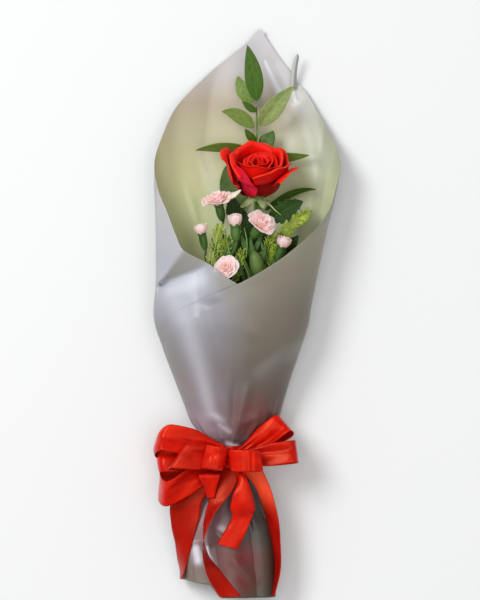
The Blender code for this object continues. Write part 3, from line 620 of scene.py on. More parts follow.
def film_marks(x, y, front):
    """How far painted highlights whiten the film (glints, glare, a bright band and a bright facet on the left front,
    bright points at the neck and bright faces on the skirt), and how far painted shade darkens it in the turned-down
    corner and two strips on the front.
    """
    back = 1 - front
    # painted highlights: glints and glare on the far sheet near its tip and right wall, then on the front
    painted_highlight = 0.9 * back * mark(x, y, (20, 276), (40, 233), 3.6, 0.4, 1.5)
    painted_highlight = np.maximum(painted_highlight, 0.7 * back * mark(x, y, (50, 246), (53, 233), 3.2))
    painted_highlight = np.maximum(painted_highlight, 0.40 * back * mark(x, y, (34, 268), (62, 226), 12.0, 0.7, 1.2))
    painted_highlight = np.maximum(painted_highlight, 0.14 * back * mark(x, y, (62, 214), (80, 130), 6.0, 0.6, 1.0))
    painted_highlight = np.maximum(painted_highlight, 0.08 * back * mark(x, y, (76, 208), (90, 150), 5.0))
    painted_highlight = np.maximum(painted_highlight, 0.16 * back * mark(x, y, (46, 214), (50, 150), 7.0))
    painted_highlight = np.maximum(painted_highlight, 0.14 * back * mark(x, y, (-46, 176), (-30, 100), 9.0))
    curve = ((-84, 26), (-67, -8), (-51, -62), (-40, -108), (-19, -129))
    for i, (a, b) in enumerate(zip(curve[:-1], curve[1:])):
        painted_highlight = np.maximum(painted_highlight, 0.27 * front * mark(x, y, a, b, (14, 12, 9.5, 6.5)[i], 1.0, (0.86, 0.8, 0.7, 0.35)[i]))
    painted_highlight = np.maximum(painted_highlight, 0.45 * front * mark(x, y, (-82, 24), (-50, 36), 11.0))
    painted_highlight = np.maximum(painted_highlight, 0.50 * front * mark(x, y, (-30, -122), (-19, -130), 2.6))
    painted_highlight = np.maximum(painted_highlight, 0.60 * front * mark(x, y, (-22, -142), (-8, -147), 2.4))
    painted_highlight = np.maximum(painted_highlight, 0.07 * front * mark(x, y, (14, -66), (58, -36), 8.0))
    painted_highlight = np.maximum(painted_highlight, 0.75 * front * mark(x, y, (-56, -258), (-53, -270), 5.0))
    painted_highlight = np.maximum(painted_highlight, 0.70 * front * mark(x, y, (-43, -256), (-38, -276), 2.8, 0.6, 1.0))
    painted_highlight = np.maximum(painted_highlight, 0.35 * front * mark(x, y, (-30, -234), (-16, -240), 3.0))
    # painted shade: the triangle between the turned-down corner's ridge and valley, and two strips on the front
    a = smooth(side_of(x, y, FACET_A, FACET_B) * -1.0 / 3.0)
    b = smooth(-side_of(x, y, FACET_B, FACET_C) / 3.0)
    painted_shade = 0.55 * front * a * b * smooth((-34 - x) / 20.0) * smooth((80 - y) / 16.0)
    painted_shade = np.maximum(painted_shade, 0.35 * front * mark(x, y, (-30, 36), (-12, 26), 12.0))
    painted_shade = np.maximum(painted_shade, 0.30 * front * mark(x, y, (-92, -16), (-62, -90), 7.0))
    return np.clip(painted_highlight, 0, 1), np.clip(painted_shade, 0, 1)


def film_point(y, deg, out=0.0, folds=1.0):
    p = np.radians(deg)
    drift = 0.42 * p + out + folds * film_folds(y, deg)
    x = MID_X(y) + (HALF_W(y) + drift) * np.sin(p)
    z = MID_Z(y) - (HALF_D(y) + drift) * np.cos(p)
    front = smooth((-np.cos(p) - 0.02) / 0.25)
    dents = film_dents(x, y + 0 * x, front)
    z = z + dents
    z = np.where(z < 3.0, 0.35 + 2.65 * np.exp((np.minimum(z, 3.0) - 3.0) / 2.65), z)
    slant = smooth((-236 - y) / 75.0) * (14.5 * smooth((-27 - x) / 16.0) + 4.0 * smooth((-42 - x) / 28.0))
    return np.stack([x, y + slant, z], -1)


def make_film():
    nu = 300
    rows = np.concatenate([np.linspace(-311, -180, 80, endpoint=False), np.linspace(-180, -110, 60, endpoint=False), np.linspace(-110, 290, 210, endpoint=False),
                           np.linspace(290, 310.5, 22)])
    u = np.linspace(0, 1, nu)[:, None]
    y = rows[None, :]
    lo, hi = LEFT_VIS(y), RIGHT_VIS(y)
    deg = lo + (hi - lo) * u
    # the free edges lift a little
    lift_r = 2.0 * smooth(1 - (hi - deg) / 26.0) * smooth((y - 14) / 50.0) * smooth((230 - y) / 60.0)
    lift_l = -0.5 * smooth(1 - (deg - lo) / 20.0) * smooth((y - 20) / 40.0) * smooth((200 - y) / 60.0)
    # below the flap its edge tucks under, so that the two layers lie as one
    tuck = -3.4 * smooth(1 - (hi - deg) / 30.0) * smooth((26 - y) / 44.0) * smooth((y + 185) / 20.0)
    P = film_point(y, deg, lift_r + lift_l + tuck)
    w1 = waves(5, 9, 0.03, 0.09)
    P[..., 2] += 0.45 * w1(P[..., 0], P[..., 1]) * smooth((P[..., 2] - 4) / 10)
    front = smooth((-np.cos(np.radians(deg)) - 0.02) / 0.25) + 0 * P[..., 0]
    B = Builder()
    B.grid(P, (deg + 250) / 500.0, (y + 311) / 622.0 + 0 * deg, flip=True)
    o = B.object("film_wrap_sheet")
    # the crease attribute holds the painted highlights, the other one the painted shade
    for name, value in zip(("crease", "painted_shade"), film_marks(P[..., 0], P[..., 1], front)):
        o.data.attributes.new(name, "FLOAT", "POINT").data.foreach_set("value", value.astype(np.float32).ravel())
    solidify(o, 0.18)
    finish_piece(o, FILM, ["film_wrap"])
    # a pinched corner that stands off the sheet's right edge
    B = Builder()
    u = np.linspace(0, 1, 26)[:, None]
    v = np.linspace(-1, 1, 9)[None, :]
    cx = 50.5 + 4.8 * u - 1.0 * np.sin(PI * u)
    cy = 246 + 37.5 * u
    half = 3.6 - 1.2 * u
    half = half * np.sqrt(np.clip((1 - u) / 0.12, 0, 1)) + 0.05
    zz = 7.0 + 9.0 * u + 2.6 * (1 - np.abs(v)) * (1 - 0.3 * u)
    P = np.stack([cx + half * v, cy + 0 * v, zz], -1)
    B.grid(P, 0.56 + 0 * u + 0 * v, 0.96 + 0 * u + 0 * v)
    s = B.object("film_wrap_pinched_corner")
    solidify(s, 0.18)
    finish_piece(s, FILM, ["film_wrap"])
    return o, s


# ------------------------------------------------------------------ leaves
def leaf_grid(base, tip, width, bulge=(0, 0, 0), normal=(0, 0, 1), fold=0.12, shape=0.75, nu=22, nv=13, serrate=0.0, teeth=12,
              curl=0.0, wave=0.0, petiole=0.0):
    b, e = np.array(base, float), np.array(tip, float)
    mid = (b + e) / 2 + np.array(bulge, float)
    u = np.linspace(0, 1, nu)[:, None]
    c = b * (1 - u) ** 2 + mid * 2 * u * (1 - u) + e * u**2
    t = (mid - b) * (1 - u) + (e - mid) * u
    t /= np.linalg.norm(t, axis=1)[:, None]
    n = np.broadcast_to(np.array(normal, float), t.shape)
    n = n - t * (n * t).sum(1)[:, None]
    n /= np.linalg.norm(n, axis=1)[:, None]
    s = np.cross(n, t)
    uu = np.clip((u[:, 0] - petiole) / (1 - petiole), 0, 1)
    half = 0.5 * width * np.maximum(np.sin(PI * uu**shape), 0) ** 0.85 + 0.35
    if serrate:
        saw = (uu * teeth) % 1.0
        half = half * (1 - serrate * saw * np.sin(PI * uu) ** 0.5)
    k = np.linspace(-1, 1, nv)[None, :]
    L = np.linalg.norm(e - b)
    off = fold * half[:, None] * np.abs(k) ** 1.3 - curl * half[:, None] * (np.abs(k) ** 3) + wave * np.sin(u * 9 + k) * np.abs(k) ** 2 * half[:, None]
    P = c[:, None] + s[:, None] * (half[:, None] * k)[..., None] + n[:, None] * off[..., None]
    return P, (k * 0.5 + 0.5) + 0 * u, u + 0 * k, L


def make_leaf(name, nodes, mat, slot, thickness=0.4, **kw):
    P, U, V, L = leaf_grid(**kw)
    B = Builder()
    B.grid(P, U, V)
    o = B.object(name)
    solidify(o, thickness)
    finish_piece(o, mat, nodes)
    return o


# ------------------------------------------------------------------ rose
ROSE_BASE = np.array([12.8, 130.0, 27.0])
TILT = math.radians(36.0)
E3 = np.array([0.01, math.cos(TILT), math.sin(TILT)]); E3 /= np.linalg.norm(E3)
E1 = np.array([1.0, 0, 0]); E1 = E1 - E3 * E1.dot(E3); E1 /= np.linalg.norm(E1)
E2 = np.cross(E3, E1)


def petal_grid(th0, rho0, h0, length, wide, belly, curl, drop=0.22, lag=1.0, curl_len=0.26, side_curl=2.0, seed=0, ruffle=0.6,
               lean=0.0, point=0.05, nk=31, ns=34, start=58.0, waist=0.5, fall=0.0, rounding=2.6, even=False):
    """One petal: it leaves the base outwards, rises as a cup of radius about belly, and rolls out at its rim.
    th0 and wide in degrees, lengths in mm. fall lowers the rim towards the side of larger angles,
    and even rolls the rim out along a line across the petal instead of along its edge."""
    k = np.linspace(-1, 1, nk)[:, None]
    t = np.linspace(0, 1, ns)[None, :]
    r = random.Random(seed)
    tip = length * (1 - drop * np.abs(k) ** rounding + point * np.exp(-((k / 0.22) ** 2)))
    s = t * tip
    # tangent angle from the axis along the petal
    reach = s / length
    cup = math.radians(start) * (1 - smooth(reach / 0.42)) + math.radians(lean) * smooth((reach - 0.3) / 0.5)
    end = (s - (length if even else tip) + curl_len * length) / (curl_len * length)
    roll = math.radians(1.0) * curl * (1 + 0.35 * np.abs(k) ** 1.5)
    angle = cup + roll * smooth(end) ** 1.25
    ds = tip / (ns - 1)
    dr = np.sin(angle) * ds
    dh = np.cos(angle) * ds
    rho = rho0 + np.cumsum(dr, axis=1) - dr[:, :1]
    h = h0 + np.cumsum(dh, axis=1) - dh[:, :1]
    # fit the cup's radius to the belly, measured at mid height
    mid = int(ns * 0.55)
    gain = (belly - rho0) / max(float(rho[nk // 2, mid] - rho0), 1e-3)
    rho = rho0 + (rho - rho0) * (1 + (gain - 1) * 1.0) * (1 - smooth((t - 0.55) / 0.1)) + smooth((t - 0.55) / 0.1) * (belly + (rho - rho[:, mid:mid + 1]))
    outline = waist + (1 - waist) * smooth(t / 0.45)
    half = math.radians(wide) * outline
    th = math.radians(th0) + k * half
    rho = rho + lag * k + side_curl * smooth((np.abs(k) - 0.7) / 0.3) * smooth((t - 0.35) / 0.4)
    w = waves(seed + 11, 6, 1.5, 5.0)
    rim = smooth((t - 0.55) / 0.45)
    rho = rho + ruffle * rim * w(k * 1.6, t * 1.5)
    h = h + ruffle * 0.8 * rim * w(k * 1.3 + 3, t + 1)
    P = (ROSE_BASE[None, None] + E1 * (rho * np.cos(th))[..., None] + E2 * (rho * np.sin(th))[..., None] + E3 * h[..., None])
    if fall:
        # cut the rim down towards the side of larger angles
        at = t * (1 - fall * smooth((k + 0.3) / 1.3) ** 2) * (ns - 1)
        low = np.clip(at.astype(int), 0, ns - 2)
        rows = np.arange(nk)[:, None]
        P = P[rows, low] + (P[rows, low + 1] - P[rows, low]) * (at - low)[..., None]
    return P, (k * 0.5 + 0.5) + 0 * t, t + 0 * k


def make_petal(name, nodes, mat, slot, thickness=0.45, **kw):
    P, U, V = petal_grid(**kw)
    B = Builder()
    B.grid(P, U, V, flip=True)
    o = B.object(name)
    solidify(o, thickness)
    finish_piece(o, mat, nodes)
    return o


# ------------------------------------------------------------------ carnations
def axes_for(d):
    e3 = np.array(d, float); e3 /= np.linalg.norm(e3)
    e1 = np.array([1.0, 0, 0]) if abs(e3[0]) < 0.8 else np.array([0, 0, 1.0])
    e1 = e1 - e3 * e1.dot(e3); e1 /= np.linalg.norm(e1)
    return e1, np.cross(e3, e1), e3


def make_carnation(n, centre, direction, radius, depth, mouth, open_, seed):
    """Ruffled petals with small teeth, in several turns. open_ from 0 (bud) to 1 (flat open)."""
    r = random.Random(seed)
    e1, e2, e3 = axes_for(direction)
    c = np.array(centre, float)
    base = c - e3 * (0.5 * depth)
    B = Builder()
    bud = open_ < 0.3
    rings = 3 if bud else 5
    for ring in range(rings):
        f = ring / (rings - 1)                       # 0 outside, 1 heart
        count = (4, 3, 2)[ring] if bud else (5, 5, 4, 3, 2)[ring]
        R = radius * mix(1.0, 0.24, f ** 0.85)
        top = depth * mix(mix(0.98, 0.62, open_), 1.04, f ** 0.75)
        for j in range(count):
            th0 = 2 * PI * (j + 0.5 * (ring % 2) + r.uniform(-0.12, 0.12)) / count
            half = PI / count * r.uniform(1.35, 1.6)
            nk, ns = 37, 16
            k = np.linspace(-1, 1, nk)[:, None]
            t = np.linspace(0, 1, ns)[None, :]
            teeth = 0.035 * np.abs(((k * 6 + ring) % 1.0) - 0.5) * 2
            length = (1 - 0.14 * np.abs(k) ** 3) * (1 - teeth) * r.uniform(0.95, 1.04)
            if bud:
                rho = mouth * 0.85 + (R - mouth * 0.85) * np.sin(PI * 0.62 * t) ** 0.9
                h = top * t * (1 - 0.06 * k**2)
            else:
                rho = mouth * 0.6 * (1 - t) + R * length * t ** mix(1.2, 0.9, open_)
                h = top * t ** mix(0.9, 0.55, open_) - 0.16 * top * open_ * (1 - f) * t**3
            ph = r.uniform(0, 6.28)
            amp = radius * (0.05 if bud else 0.075)
            h = h + amp * t**2.2 * (np.sin(k * 3.6 + ph) + 0.25 * np.sin(k * 8 + 2 * ph))
            rho = rho + 0.5 * amp * t**2 * np.cos(k * 5 + ph)
            th = th0 + k * half * (0.4 + 0.6 * t)
            P = base + e1 * (rho * np.cos(th))[..., None] + e2 * (rho * np.sin(th))[..., None] + e3 * h[..., None]
            B.grid(P, (k * 0.5 + 0.5) + 0 * t, 0.15 + 0.85 * t + 0 * k, flip=True)
    o = B.object(f"carnation_{n}_ruffled_petals")
    solidify(o, 0.25)
    finish_piece(o, PINK, [f"carnation_{n}_petals"])
    return base, e3


def make_calyx_stalk(n, base, e3, mouth, stalk, name=None, node=None):
    B = Builder()
    top = base + e3 * 1.2
    k = mouth + 1.5
    low = top - e3 * 16.5
    pts = [np.array(p, float) for p in stalk] + [low - e3 * 4, low - e3 * 1.5, low, top - e3 * 12, top - e3 * 7, top - e3 * 2, top]
    rad = [1.05] * len(stalk) + [1.2, 1.5, k * 0.6, k * 0.93, k * 1.02, k * 0.96, k * 1.02]
    tt = np.linspace(0, 1, 60)
    P = spline(np.array([[*p, q] for p, q in zip(pts, rad)]), tt)
    tube_into(B, P[:, :3], np.maximum(P[:, 3], 0.6), 14)
    # the calyx's five teeth
    e1, e2, _ = axes_for(e3)
    for j in range(5):
        a = 2 * PI * j / 5
        d = e1 * math.cos(a) + e2 * math.sin(a)
        side = np.cross(e3, d)
        u = np.linspace(0, 1, 7)[:, None]
        v = np.linspace(-1, 1, 5)[None, :]
        wid = k * 0.62 * (1 - u ** 1.5) + 0.05
        G = (top - e3 * 1.5)[None, None] + d * (k + 0.1 + 0.9 * u - 0.35 * (v * (1 - u)) ** 2 * k)[..., None] + e3 * (5.0 * u + 0 * v)[..., None] + side * (wid * v)[..., None]
        B.grid(G, v * 0.5 + 0.5 + 0 * u, u + 0 * v)
        B.grid(G - d * 0.25, v * 0.5 + 0.5 + 0 * u, u + 0 * v, flip=True)
    o = B.object(name or f"carnation_{n}_calyx_and_stalk")
    finish_piece(o, CALYX, [node or f"carnation_{n}_stalk"])
    return o


# ------------------------------------------------------------------ goldenrod
def make_plume(name, nodes, stem_pts, stem_r, axis_pts, length_side, seed, count=34):
    """A feathery plume: a fine stem, side twigs in two ranks, and slim leaflets and florets along them."""
    r = random.Random(seed)
    B = Builder()
    t = np.linspace(0, 1, 60)
    P = spline(np.array(stem_pts, float), t)[:, :3]
    tube_into(B, P, np.linspace(stem_r, 0.5, len(t)), 8)
    for axis in axis_pts:
        A = spline(np.array(axis, float), np.linspace(0, 1, count))
        tube_into(B, A, np.linspace(0.9, 0.3, len(A)), 6)
        T = np.gradient(A, axis=0); T /= np.linalg.norm(T, axis=1)[:, None]
        for i in range(2, count):
            f = i / count
            for s in (-1, 1):
                side = np.cross(T[i], [0, 0, 1.0]) * s
                side /= np.linalg.norm(side)
                up = np.array([0, 0, 1.0]) * r.uniform(-0.7, 0.8)
                L = length_side * max(math.sin(PI * min(0.97, 0.12 + f * 0.85)), 0.1) ** 0.6 * r.uniform(0.7, 1.15)
                d = T[i] * r.uniform(0.9, 1.3) + side + up
                d /= np.linalg.norm(d)
                end = A[i] + d * L + T[i] * L * 0.35
                mid = A[i] + d * L * 0.55
                pts = spline(np.array([A[i], mid, end]), np.linspace(0, 1, 5))
                tube_into(B, pts, [0.32, 0.3, 0.26, 0.22, 0.15], 5)
                for q in (0.35, 0.55, 0.75, 0.98):
                    p = spline(np.array([A[i], mid, end]), np.array([q]))[0]
                    for z in (-1, 1):
                        dd = d + np.array([r.uniform(-0.6, 0.6), r.uniform(-0.3, 0.6), 0.5 * z + r.uniform(-0.5, 0.5)])
                        dd /= np.linalg.norm(dd)
                        ll = r.uniform(1.8, 3.4)
                        w = np.cross(dd, [0.3, 0.2, 1.0]); w /= np.linalg.norm(w)
                        k = np.linspace(0, 1, 4)[:, None]
                        wid = 0.55 * np.sin(PI * (0.1 + 0.85 * k))
                        v = np.array([[-1.0, 0.0, 1.0]])
                        G = p[None, None] + dd * (ll * k + 0 * v)[..., None] + w * (wid * v)[..., None] + np.cross(dd, w) * (0.25 * np.abs(v) + 0 * k)[..., None]
                        B.grid(G, v * 0.5 + 0.5 + 0 * k, k + 0 * v)
                        B.grid(G - np.cross(dd, w) * 0.12, v * 0.5 + 0.5 + 0 * k, k + 0 * v, flip=True)
    o = B.object(name)
    finish_piece(o, GOLD, nodes)
    return o


def make_tube(name, nodes, mat, pts, segments=12, n=90):
    P = spline(np.array(pts, float), np.linspace(0, 1, n))
    B = Builder()
    tube_into(B, P[:, :3], np.maximum(P[:, 3], 0.3), segments)
    return finish_piece(B.object(name), mat, nodes)


# ------------------------------------------------------------------ bow
NECK = np.array([-17.4, -147.7, 18.5])
KNOT = np.array([-17.4, -160.0, 54.0])
KX, KY, KZ = KNOT


def satin_piece(name, P, V, arc, nodes, thick=0.35, mat=None):
    """P is (along the ribbon, across it, 3)."""
    G = Builder()
    G.grid(P, (arc / 24.0)[:, None] + 0 * V, V + 0 * arc[:, None])
    ob = G.object(name)
    solidify(ob, thick)
    finish_piece(ob, mat or SATIN, nodes)
    return ob


def arc_of(P):
    mid = P[:, P.shape[1] // 2]
    return np.concatenate([[0], np.cumsum(np.linalg.norm(np.diff(mid, axis=0), axis=1))])


def loop(name, start, direction, length, radius, nodes, pinch=0.42, wide=24.5, skew=0.0, twist=0.0, bend=(0, 0, 0), seed=1, pleats=2.5,
         crease=0.8, v0=0.1, up=(0, 0, 1), spread=0.6, soft=0.0, mat=None):
    """A puffed loop: out along direction and back, the near layer first, gathered at the knot and round at its far end.
    skew makes one edge longer, twist rolls the far end about direction, bend carries it sideways."""
    d = np.array(direction, float); d /= np.linalg.norm(d)
    o = np.array(up, float); o = o - d * o.dot(d); o /= np.linalg.norm(o)
    w = np.cross(d, o)
    nu, nv = 121, 17
    t = np.linspace(-1, 1, nu)[:, None]
    v = np.linspace(-0.5, 0.5, nv)[None, :]
    s = np.abs(t)
    far = 1 - s**2
    along = (length + skew * 2 * v - soft * (2 * v) ** 4) * far
    fat = np.where(s < 0.35, np.sin(PI * s / 0.7), np.cos((s - 0.35) / 0.65 * PI / 2) ** 1.6)
    rise = -np.sign(t) * (radius * fat + 1.0 * smooth(s / 0.2))
    near = smooth(far / spread)
    width = wide * (pinch + (1 - pinch) * near)
    gather = 1 - near
    pl = 1.6 * gather * np.sin(2 * PI * pleats * (v + 0.5) + 0.9 * seed - 0.8 * t)
    fold = -crease * 1.8 * np.exp(-(((v - v0) - 0.10 * far) / 0.13) ** 2) * np.sin(PI * far) ** 0.8
    fold = fold + crease * 0.6 * np.sin(2 * PI * (0.9 * v + 0.23 * seed) + 4.0 * far + t) * near
    off = rise + pl + fold
    tw = math.radians(twist) * smooth(far)
    B = np.array(bend, float)
    P = (np.array(start, float) + d * along[..., None] + o * (off * np.cos(tw) + width * v * np.sin(tw))[..., None]
         + w * (width * v * np.cos(tw) - off * np.sin(tw))[..., None] + B * (far**2)[..., None])
    return satin_piece(name, P, v + 0.5, arc_of(P), nodes, mat=mat)


def roll(name, centre, direction, half_len, half_depth, nodes, wide=24.5, lean=0.0, seed=1, crease=0.5, barrel=0.06, flute=0.0, peak=0.0, pitch=7.6, rests="bow_knot_ribbon"):
    """A short closed roll of ribbon that lies over the knot, seen broadside."""
    d = np.array(direction, float); d /= np.linalg.norm(d)
    o = np.array([0, 0, 1.0]); o = o - d * o.dot(d); o /= np.linalg.norm(o)
    w = np.cross(d, o)
    nu, nv = 97, 15
    a = np.linspace(-PI / 2, 1.5 * PI, nu)[:, None]
    v = np.linspace(-0.5, 0.5, nv)[None, :]
    sx = np.cos(a)
    width = wide * (1 - barrel * (1 - np.abs(np.sin(a))))
    rip = crease * (np.sin(5 * a + 3 * v + seed) * 0.5 + np.exp(-((v + 0.12 + 0.25 * np.cos(a)) / 0.10) ** 2) * -1.2 * (np.sin(a) > -0.3))
    u = half_len * sx + lean * v - peak
    rip = rip + flute * np.cos(2 * PI * u / pitch) * np.exp(-((u / 8.5) ** 2)) * smooth((np.sin(a) - 0.1) / 0.5)
    P = (np.array(centre, float) + d * ((half_len + 0.3 * rip) * sx + lean * v)[..., None] + o * ((half_depth + rip) * np.sin(a))[..., None]
         + w * (width * v + 0.8 * np.cos(a + 0.4))[..., None])
    return satin_piece(name, P, v + 0.5, arc_of(P), nodes)


def strip(name, stations, nodes, n=110, m=13, cup=0.0, wrinkle=0.35, seed=1, mat=None):
    """A tail of ribbon: each station is a point on its one edge and a point on the other."""
    S = np.array([[*p, *q] for p, q in stations], float)
    t = np.linspace(0, 1, n)
    E = spline(S, t)
    A, Bp = E[:, :3], E[:, 3:]
    v = np.linspace(0, 1, m)[None, :, None]
    P = A[:, None] * (1 - v) + Bp[:, None] * v
    T = np.gradient(P, axis=0)
    W = np.broadcast_to((Bp - A)[:, None], P.shape)
    N = np.cross(T, W)
    N /= np.linalg.norm(N, axis=-1, keepdims=True) + 1e-9
    k = v[..., 0] * 2 - 1
    w = waves(seed, 7, 1.2, 5.0)
    off = cup * (1 - k**2) + wrinkle * w(t[:, None] * 6, k * 0.7)
    P = P + N * np.broadcast_to(off, P.shape[:2])[..., None]
    return satin_piece(name, P, v[..., 0], arc_of(P), nodes, mat=mat or SATIN_SHADED)


def make_band():
    nu, nv = 120, 9
    a = np.linspace(0, 2 * PI * 1.04, nu)[:, None]
    v = np.linspace(-0.5, 0.5, nv)[None, :]
    r = 17.3 + 0.25 * np.sin(9 * a + 3 * v) + 0.35 * a / (2 * PI)
    P = np.stack([NECK[0] + r * np.cos(a), NECK[1] - 5 + 13.5 * v + 0.6 * np.sin(2 * a), NECK[2] + 0.6 + (r - 0.9) * np.sin(a)], -1)
    satin_piece("neck_band_ribbon", P, v + 0.5, arc_of(P), ["neck_band"])
    # centre of the bow: ribbon gathered over the crossing of the loops
    nu, nv = 80, 33
    a = np.linspace(0, 2 * PI, nu)[:, None]
    v = np.linspace(-0.5, 0.5, nv)[None, :]
    pleat = 0.75 * np.sin(2 * PI * 3.2 * v + 0.7 * np.sin(a)) + 0.4 * np.sin(2 * PI * 7 * v + 1.0)
    bulge = 1.2 * np.cos(PI * v) ** 0.7
    P = np.stack([KX + (8.6 + bulge + pleat * 0.8) * np.cos(a), KY + 0.5 + 19.0 * v + 1.2 * np.sin(a + 0.8), KZ - 3 + (12.0 + bulge + pleat) * np.sin(a)], -1)
    satin_piece("bow_knot_ribbon", P, v + 0.5, arc_of(P), ["bow_knot"])


def make_bow():
    make_band()
    loop("bow_loop_left_back_ribbon", (-25, -151, 43), (-0.955, 0.30, -0.02), 74, 15, ["bow_loop_left_back"], seed=1, twist=-20, wide=31, skew=0, bend=(-4, -11, 0), crease=1.6, v0=-0.1, soft=4)
    loop("bow_loop_left_back_under", (-25, -157, 37), (-0.99, -0.06, -0.01), 73, 11, ["bow_loop_left_back"], seed=8, twist=-12, wide=26, skew=1, bend=(0, -3, 0), crease=1.2, v0=0.15, soft=2)
    loop("bow_loop_left_low_ribbon", (-25, -166, 45), (-0.935, -0.35, 0.0), 75, 16, ["bow_loop_left_low"], seed=2, twist=30, wide=30, skew=-6, bend=(0, 1, 0), crease=1.8, v0=0.05)
    loop("bow_loop_left_front_ribbon", (-22, -159, 61), (-0.999, 0.04, 0.02), 55, 9, ["bow_loop_left_front"], seed=3, twist=-8, wide=26.5, skew=-8.5, crease=0.9, pinch=0.6, mat=SATIN_HALF_SHADED)
    roll("bow_loop_left_front_roll", (-35.2, -157.5, 70.5), (0.99, -0.10, 0), 12.2, 8.5, ["bow_loop_left_front"], wide=26, lean=-4.4, seed=2, crease=0.7, flute=0.35, peak=-4.0, pitch=9.0)
    loop("bow_loop_small_ribbon", (-39, -201, 56), (-0.06, 1.0, 0.10), 27, 5.5, ["bow_loop_small"], seed=4, pinch=0.36, wide=26, pleats=0.8, twist=4, crease=0.4, spread=1.25)
    loop("bow_loop_right_back_ribbon", (-8, -153, 42), (0.857, 0.515, 0.0), 60, 9, ["bow_loop_right_back"], seed=5, twist=24, wide=24.5, skew=2, crease=2.0, v0=0.12)
    loop("bow_loop_right_middle_ribbon", (-8, -159, 53), (0.99, 0.125, 0.0), 63, 8.5, ["bow_loop_right_middle"], seed=6, twist=6, wide=24.5, crease=1.3, v0=-0.2, pinch=0.7, mat=SATIN_HALF_SHADED)
    roll("bow_loop_right_front_roll", (-1.6, -160.6, 70.5), (0.999, 0.02, 0), 17.6, 9.5, ["bow_loop_right_front"], wide=24, lean=2.6, seed=7, crease=0.25, barrel=0.10, flute=0.5, peak=3.4)
    strip("ribbon_tail_left_piece", [((-33, -172, 44), (-24, -175, 45)), ((-62, -188, 41), (-38, -192, 44)), ((-82.5, -207, 37), (-48.5, -206, 42)),
                                     ((-82.8, -231, 34), (-52.3, -226, 41)), ((-78.5, -253.4, 28), (-60, -253.4, 39)), ((-75.2, -275, 17), (-65.4, -273, 35)),
                                     ((-72.0, -292.5, 9), (-70.6, -291.6, 32))],
          ["ribbon_tail_left"], seed=11, cup=1.6, wrinkle=0.7, n=130)
    strip("ribbon_tail_centre_left_piece", [((-27, -168, 50), (-5, -168, 52)), ((-38, -193.5, 54), (-15, -193, 57)), ((-45.8, -220.7, 52), (-34, -216.4, 63)),
                                            ((-48, -240, 50), (-45, -240.3, 71)), ((-42.5, -262, 49), (-48, -257, 68)), ((-35, -274, 48), (-46.5, -272, 65)),
                                            ((-20.7, -291.6, 49), (-42, -289, 60)), ((-6.5, -309, 48), (-29.4, -309.5, 55))],
          ["ribbon_tail_centre_left"], seed=12, cup=0.8, wrinkle=0.4, n=150)
    strip("ribbon_tail_centre_right_piece", [((-14, -172, 56), (-7, -172, 57)), ((-9.8, -182.6, 60), (-1, -178, 61)), ((-15.3, -197.8, 63), (5.5, -196.8, 63)),
                                             ((-18.2, -212, 61), (8.7, -213, 61)), ((-16.4, -223, 54), (6.5, -219.6, 55.5)), ((-24, -237, 53), (-2.2, -241.5, 54)),
                                             ((-32.7, -252, 53), (-10.4, -257.3, 53))],
          ["ribbon_tail_centre_right"], seed=13, cup=1.6, wrinkle=0.45, n=120, mat=SATIN)
    strip("ribbon_tail_right_piece", [((-9, -172, 48), (-3, -166, 48)), ((1, -180, 47), (13, -168, 48)), ((9.8, -192.4, 45), (25, -189.5, 47)),
                                      ((19.6, -220.7, 37), (33.8, -222, 46)), ((26.2, -248, 29), (36.3, -250, 45)), ((29.5, -276, 23), (36.8, -281, 43)),
                                      ((25.7, -309, 21), (30.5, -309.5, 41))],
          ["ribbon_tail_right"], seed=14, cup=1.4, wrinkle=0.6, n=130, mat=SATIN_LIT_THEN_SHADED)


